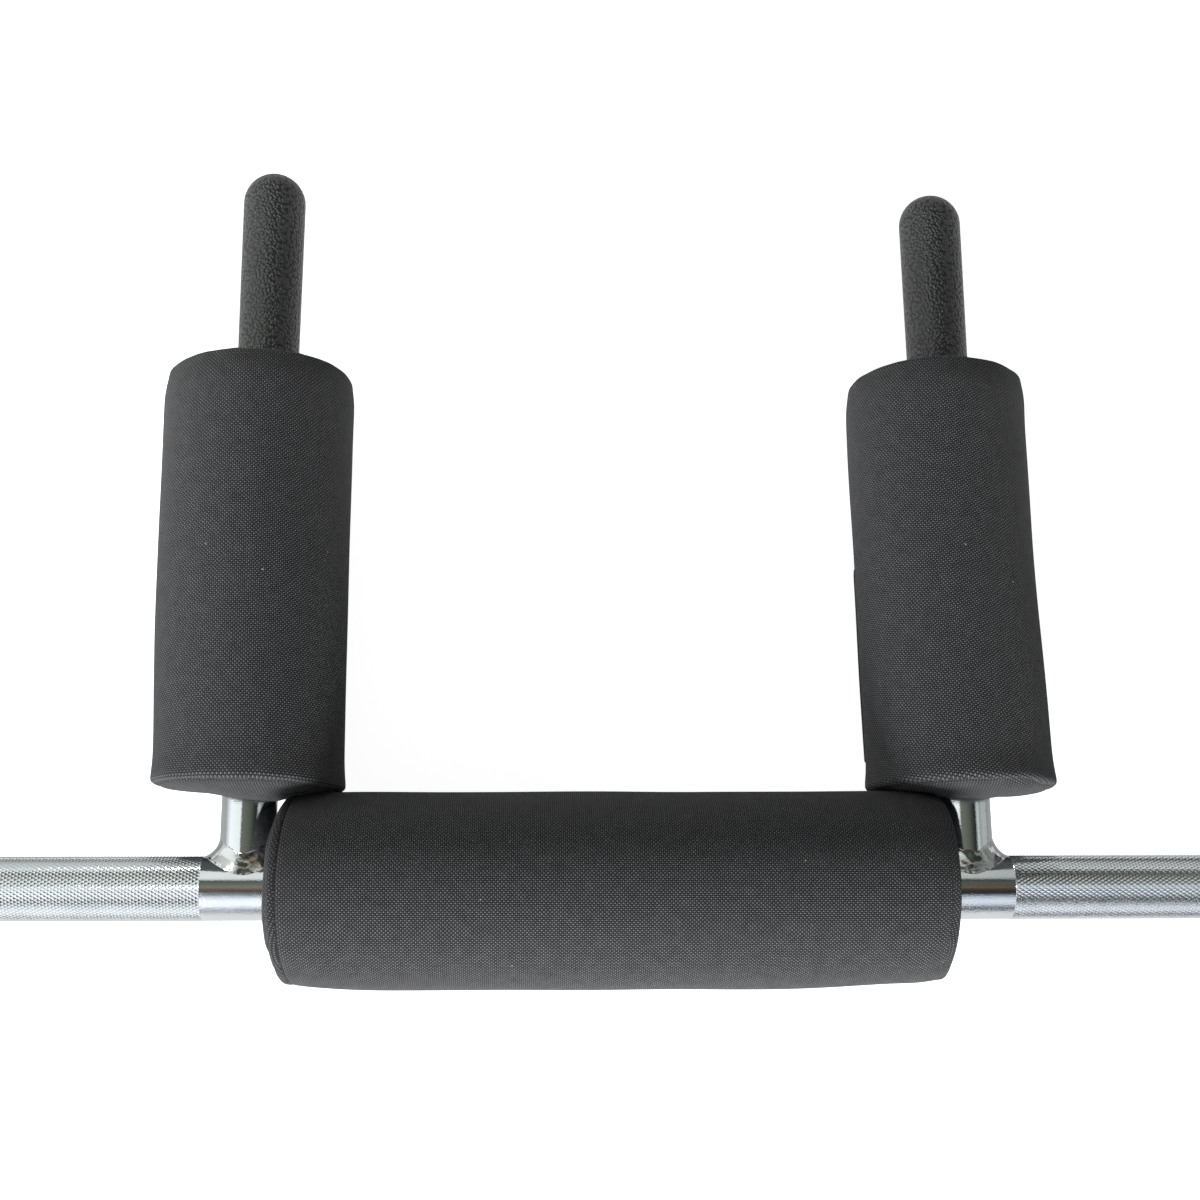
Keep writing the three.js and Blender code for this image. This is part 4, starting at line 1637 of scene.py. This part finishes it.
@dataclass
class Studio:
    """A white sweep, a soft key from the left front, and the room that the chrome mirrors."""

    floor_size: float = 8.0
    paper: str = "F2F2F2"
    # Painted reflections, seen only in a mirror: the paper painted grey as its shade, and painted dark past an edge in
    # front, where the camera still sees white paper.
    painted_reflection_grey: str = "8A8B8A"
    painted_reflection_dark: str = "4A4F58"
    painted_reflection_edge: float = -0.30
    floor_glow: float = 0.92
    room_light: float = 0.172

    def build(self) -> None:
        """Makes the floor, the lamps and the world."""
        self.build_floor()
        self.build_lamps()
        self.build_world()

    def build_floor(self) -> None:
        """Lays the white paper: white to the eye and shaded where the bar touches it, with painted reflections in a
        mirror.
        """
        deselect_all()
        bpy.ops.mesh.primitive_plane_add(size=self.floor_size, location=(0, 0, -0.0002))
        floor = bpy.context.object
        floor.name = "paper_floor"
        bpy.ops.object.transform_apply(location=True, rotation=True, scale=True)
        material = bpy.data.materials.new("white background paper")
        material.use_nodes = True
        tree = material.node_tree
        tree.nodes.clear()
        path = add_node(tree, "ShaderNodeLightPath")
        place = add_node(tree, "ShaderNodeTexCoord").outputs["Object"]
        beside, ahead, _ = add_node(tree, "ShaderNodeSeparateXYZ", (place,)).outputs
        inside_reflection_edge = add_node(tree, MATH, (ahead, self.painted_reflection_edge), operation="GREATER_THAN").outputs[0]
        slanted = add_node(tree, MATH, (ahead, -0.25, beside), operation="MULTIPLY_ADD").outputs[0]
        at_left = add_node(tree, MATH, (slanted, -0.22), operation="LESS_THAN").outputs[0]
        near = add_node(tree, MATH, (inside_reflection_edge, at_left), operation="MAXIMUM").outputs[0]
        shown = add_node(tree, MATH, (path.outputs["Is Camera Ray"], path.outputs["Is Transmission Ray"]),
                         operation="ADD").outputs[0]
        # Painted reflection: in a mirror the paper's glow is painted low just behind the shaft as its shadow, high
        # again further back, and none past the front edge away from the left, where it is painted dark.
        mirrored = add_node(tree, MATH, (path.outputs["Is Glossy Ray"], near), operation="MULTIPLY").outputs[0]
        behind = add_node(tree, RANGE, (ahead, -0.02, 0.03, 0.7, 0.25)).outputs[0]
        far = add_node(tree, RANGE, (ahead, 0.15, 0.25, 0.0, 0.5)).outputs[0]
        painted_reflection_glow = add_node(tree, MATH, (behind, far), operation="ADD").outputs[0]
        camera_glow = add_node(tree, MATH, (shown, self.floor_glow), operation="MULTIPLY").outputs[0]
        glow = add_node(tree, MATH, (mirrored, painted_reflection_glow, camera_glow), operation="MULTIPLY_ADD").outputs[0]
        painted_reflection_tone = add_node(tree, MIX, {"Factor": near, "A": linear(self.painted_reflection_dark),
                                         "B": linear(self.painted_reflection_grey)}, data_type="RGBA")
        tone = add_node(tree, MIX, {"Factor": path.outputs["Is Glossy Ray"], "A": linear(self.paper),
                                    "B": painted_reflection_tone.outputs["Result"]}, data_type="RGBA")
        lit = add_node(tree, "ShaderNodeBsdfDiffuse", {"Color": tone.outputs["Result"]})
        white = add_node(tree, "ShaderNodeEmission", {"Color": (1, 1, 1, 1), "Strength": glow})
        both = add_node(tree, "ShaderNodeAddShader", (lit.outputs[0], white.outputs[0]))
        add_node(tree, "ShaderNodeOutputMaterial", {"Surface": both.outputs[0]})
        floor.data.materials.append(material)

    def build_lamps(self) -> None:
        """Hangs a low soft lamp in front, a smaller one at the left, and one behind for highlights only."""
        for name, place, power, size in (
            ("front", Vector((-0.3, -2.5, 0.95)), 125.0, 0.8),
            ("left", Vector((-0.78, 0.33, 0.3)), 3.1, 0.4),
            ("highlight", Vector((-1.06, 1.14, 1.64)), 13.0, 0.25),
        ):
            lamp_data = bpy.data.lights.new(name, "AREA")
            lamp_data.energy, lamp_data.size = power, size
            lamp = bpy.data.objects.new(name, lamp_data)
            lamp.location = place
            lamp.rotation_euler = (Vector((0, 0.1, 0.05)) - place).to_track_quat("-Z", "Y").to_euler()
            lamp.visible_camera = False
            lamp.visible_glossy = name == "highlight"
            lamp.visible_diffuse = name != "highlight"
            bpy.context.scene.collection.objects.link(lamp)

    def build_world(self) -> None:
        """Makes the room: white to the camera, plain grey light, and bands in the mirror."""
        world = bpy.data.worlds.new("studio room")
        bpy.context.scene.world = world
        world.use_nodes = True
        tree = world.node_tree
        tree.nodes.clear()
        direction = add_node(tree, "ShaderNodeTexCoord").outputs["Generated"]
        x, y, z = add_node(tree, "ShaderNodeSeparateXYZ", (direction,)).outputs
        at_left = add_node(tree, RANGE, (x, -0.15, -0.23)).outputs[0]
        across = add_node(tree, MIX, {"Factor": at_left, "A": self.band(tree, y, z, ACROSS_BANDS),
                                      "B": self.band(tree, y, z, ACROSS_LEFT_BANDS)}, data_type="RGBA")
        along = self.band(tree, x, z, ALONG_BANDS)
        width, depth = (add_node(tree, MATH, (part,), operation="ABSOLUTE").outputs[0] for part in (x, y))
        sideways = add_node(tree, MATH, (depth, -0.9, width), operation="MULTIPLY_ADD").outputs[0]
        share = add_node(tree, RANGE, (sideways, 0.12, 0.22)).outputs[0]
        bands = add_node(tree, MIX, {"Factor": share, "A": across.outputs["Result"], "B": along}, data_type="RGBA")
        dimmed = add_node(tree, RANGE, (x, -0.2, 0.25, 1.15, 0.7)).outputs[0]
        right = add_node(tree, RANGE, (x, 0.24, 0.3, 0.0, 0.5)).outputs[0]
        back = add_node(tree, RANGE, (y, 0.1, 0.4)).outputs[0]
        lost = add_node(tree, MATH, (right, back), operation="MULTIPLY").outputs[0]
        kept = add_node(tree, MATH, (1.0, lost), operation="SUBTRACT").outputs[0]
        scale = add_node(tree, MATH, (dimmed, kept), operation="MULTIPLY").outputs[0]
        mirrored = add_node(tree, "ShaderNodeVectorMath", {0: bands.outputs["Result"], "Scale": scale},
                            operation="SCALE")
        behind = add_node(tree, MATH, (y, -self.room_light * 0.8, self.room_light),
                          operation="MULTIPLY_ADD").outputs[0]
        path = add_node(tree, "ShaderNodeLightPath")
        soft = add_node(tree, MIX, {"Factor": path.outputs["Is Glossy Ray"], "A": behind,
                                    "B": mirrored.outputs[0]}, data_type="RGBA")
        seen = add_node(tree, MATH, (path.outputs["Is Camera Ray"], path.outputs["Is Transmission Ray"]),
                        operation="MAXIMUM").outputs[0]
        final = add_node(tree, MIX, {"Factor": seen, "A": soft.outputs["Result"], "B": (1, 1, 1, 1)},
                         data_type="RGBA")
        light = add_node(tree, "ShaderNodeBackground", {"Color": final.outputs["Result"], "Strength": 1.0})
        add_node(tree, "ShaderNodeOutputWorld", {"Surface": light.outputs[0]})

    @staticmethod
    def band(tree: Tree, level: Socket, up: Socket,
             stops: Sequence[tuple[float, str, float]]) -> Socket:
        """Colours the room by the angle from straight up.

        Args:
            tree: the world's tree.
            level: the direction's part along one level axis.
            up: its part along Z.
            stops: angle in degrees, colour and brightness, from -90 to 90.

        Returns:
            The colour.
        """
        angle = add_node(tree, MATH, (level, up), operation="ARCTAN2").outputs[0]
        share = add_node(tree, MATH, (angle, 1 / math.pi, 0.5), operation="MULTIPLY_ADD").outputs[0]
        ramp = add_node(tree, "ShaderNodeValToRGB", (share,))
        ramp.color_ramp.interpolation = "EASE"
        elements = ramp.color_ramp.elements
        while len(elements) < len(stops):
            elements.new(0.5)
        for element, (degrees, colour, strength) in zip(elements, stops):
            element.position = degrees / 180 + 0.5
            element.color = tuple(channel * strength for channel in linear(colour)[:3]) + (1,)
        return ramp.outputs[0]


# The room in the mirror, by the angle from straight up: colour and brightness.
# The left bands take over where the mirrored ray runs to the left.
ACROSS_BANDS = (
    (-90, "3E444E", 0.7), (-82, "5A6068", 0.8), (-76, "E6EEF8", 1.3), (-62, "F2F7FF", 1.6),
    (-40, "DCE6F2", 1.25), (-32, "4A4D4C", 1.0), (-22, "3A3C38", 1.0), (-16, "4A4238", 1.0),
    (-11, "7A5E42", 1.0), (-5, "8A7F70", 1.0), (0, "8E8B82", 1.0), (6, "70746A", 1.0),
    (14, "686D64", 1.0), (20, "505350", 1.0), (25, "D0D4D0", 1.0), (30, "E6EAE6", 1.1),
    (55, "EAEDEA", 1.1), (72, "8A8E88", 1.0), (90, "4E524C", 1.0),
)
ACROSS_LEFT_BANDS = (
    (-90, "F8FAFF", 1.5), (-42, "F2F5FC", 1.5), (-24, "D4D8E0", 1.2), (-13, "62606A", 1.0), (-5, "56545A", 1.0),
    (6, "747672", 1.0), (20, "565A54", 1.0), (25, "D0D4D0", 1.0), (30, "E6EAE6", 1.1),
    (50, "D2D6D0", 1.15), (90, "A8ACA4", 1.15),
)
ALONG_BANDS = (
    (-90, "D8DCDA", 1.0), (-70, "F4F8F6", 1.25), (-27, "EEF4F0", 1.2), (-22, "6E736A", 1.0),
    (20, "62675E", 1.0), (26, "4E534C", 1.0), (38, "2E312F", 1.0), (42, "C8CCC8", 1.2),
    (50, "E8ECE8", 1.5), (56, "B4B8B4", 1.4), (75, "D4D8D4", 1.3), (90, "C8CCC8", 1.3),
)


def place_camera() -> None:
    """Puts the camera where the photograph was taken from: nearly overhead, a little in front."""
    right = Vector((0.99912, -0.00673, 0.04138))
    up = Vector((-0.00445, 0.96442, 0.26435))
    forward = Vector((0.04169, 0.2643, -0.96354))
    data = bpy.data.cameras.new("camera")
    data.lens, data.sensor_width, data.sensor_fit = 57.28, 36.0, "HORIZONTAL"
    data.dof.use_dof = False
    camera = bpy.data.objects.new("camera", data)
    turned = Matrix((right, up, -forward)).transposed().to_4x4()
    camera.matrix_world = Matrix.Translation(Vector((-45.6, -114.44, 966.05 + AXIS_HEIGHT)) * MM) @ turned
    bpy.context.scene.collection.objects.link(camera)
    bpy.context.scene.camera = camera


def dress_inner_pieces(finishes: dict[str, Material]) -> None:
    """Gives the hidden bearings, washers and rings their metals.

    Args:
        finishes: the material for each kind of inner piece.
    """
    for name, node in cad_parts.items():
        for kind, material in finishes.items():
            if name.endswith(kind):
                node.data.materials.clear()
                node.data.materials.append(material)
                LOG.info("%s: dressed in %s", name, material.name)


def main() -> None:
    """Builds the camera, the studio and every piece of the bar."""
    logging.basicConfig(level=logging.INFO, format="%(message)s")
    bpy.context.scene.view_settings.view_transform = "Standard"
    place_camera()
    Studio().build()

    chrome, hard_chrome, weld, rolled, rubber, plastic, steel, cloth, foam, tape, thread, bronze = (
        finish.build() for finish in (
            ChromePlate(), HardChrome(), WeldChrome(),
            ChromePlate(name="bright chrome plate over rolled knurl", roughness=0.11, haze=0.06),
            PebbledRubber(), MOULDED_PLASTIC, SPRING_STEEL, WovenNylon(), CLOSED_CELL_FOAM,
            ClosureTape(), SewingThread(), SINTERED_BRONZE))

    Shaft().build(chrome, rolled)
    for side, grip_foot in ((Side.LEFT, 258.0), (Side.RIGHT, 250.0)):
        arm = Arm(side, seed=side.value * 3.3)
        arm.build_tube(chrome)
        arm.build_weld(weld)
        Grip(side, grip_foot).build(rubber)
        PlateSleeve(side).build(hard_chrome, plastic, steel)
    for pad in (neck_pad(), shoulder_pad(Side.LEFT), shoulder_pad(Side.RIGHT)):
        cover = pad.build_cover(cloth)
        pad.build_foam(foam)
        Flap(pad).build(tape, thread, cover)
    dress_inner_pieces({"bushing": bronze, "washer": bronze, "snap_ring": steel})


if __name__ == "__main__":
    main()
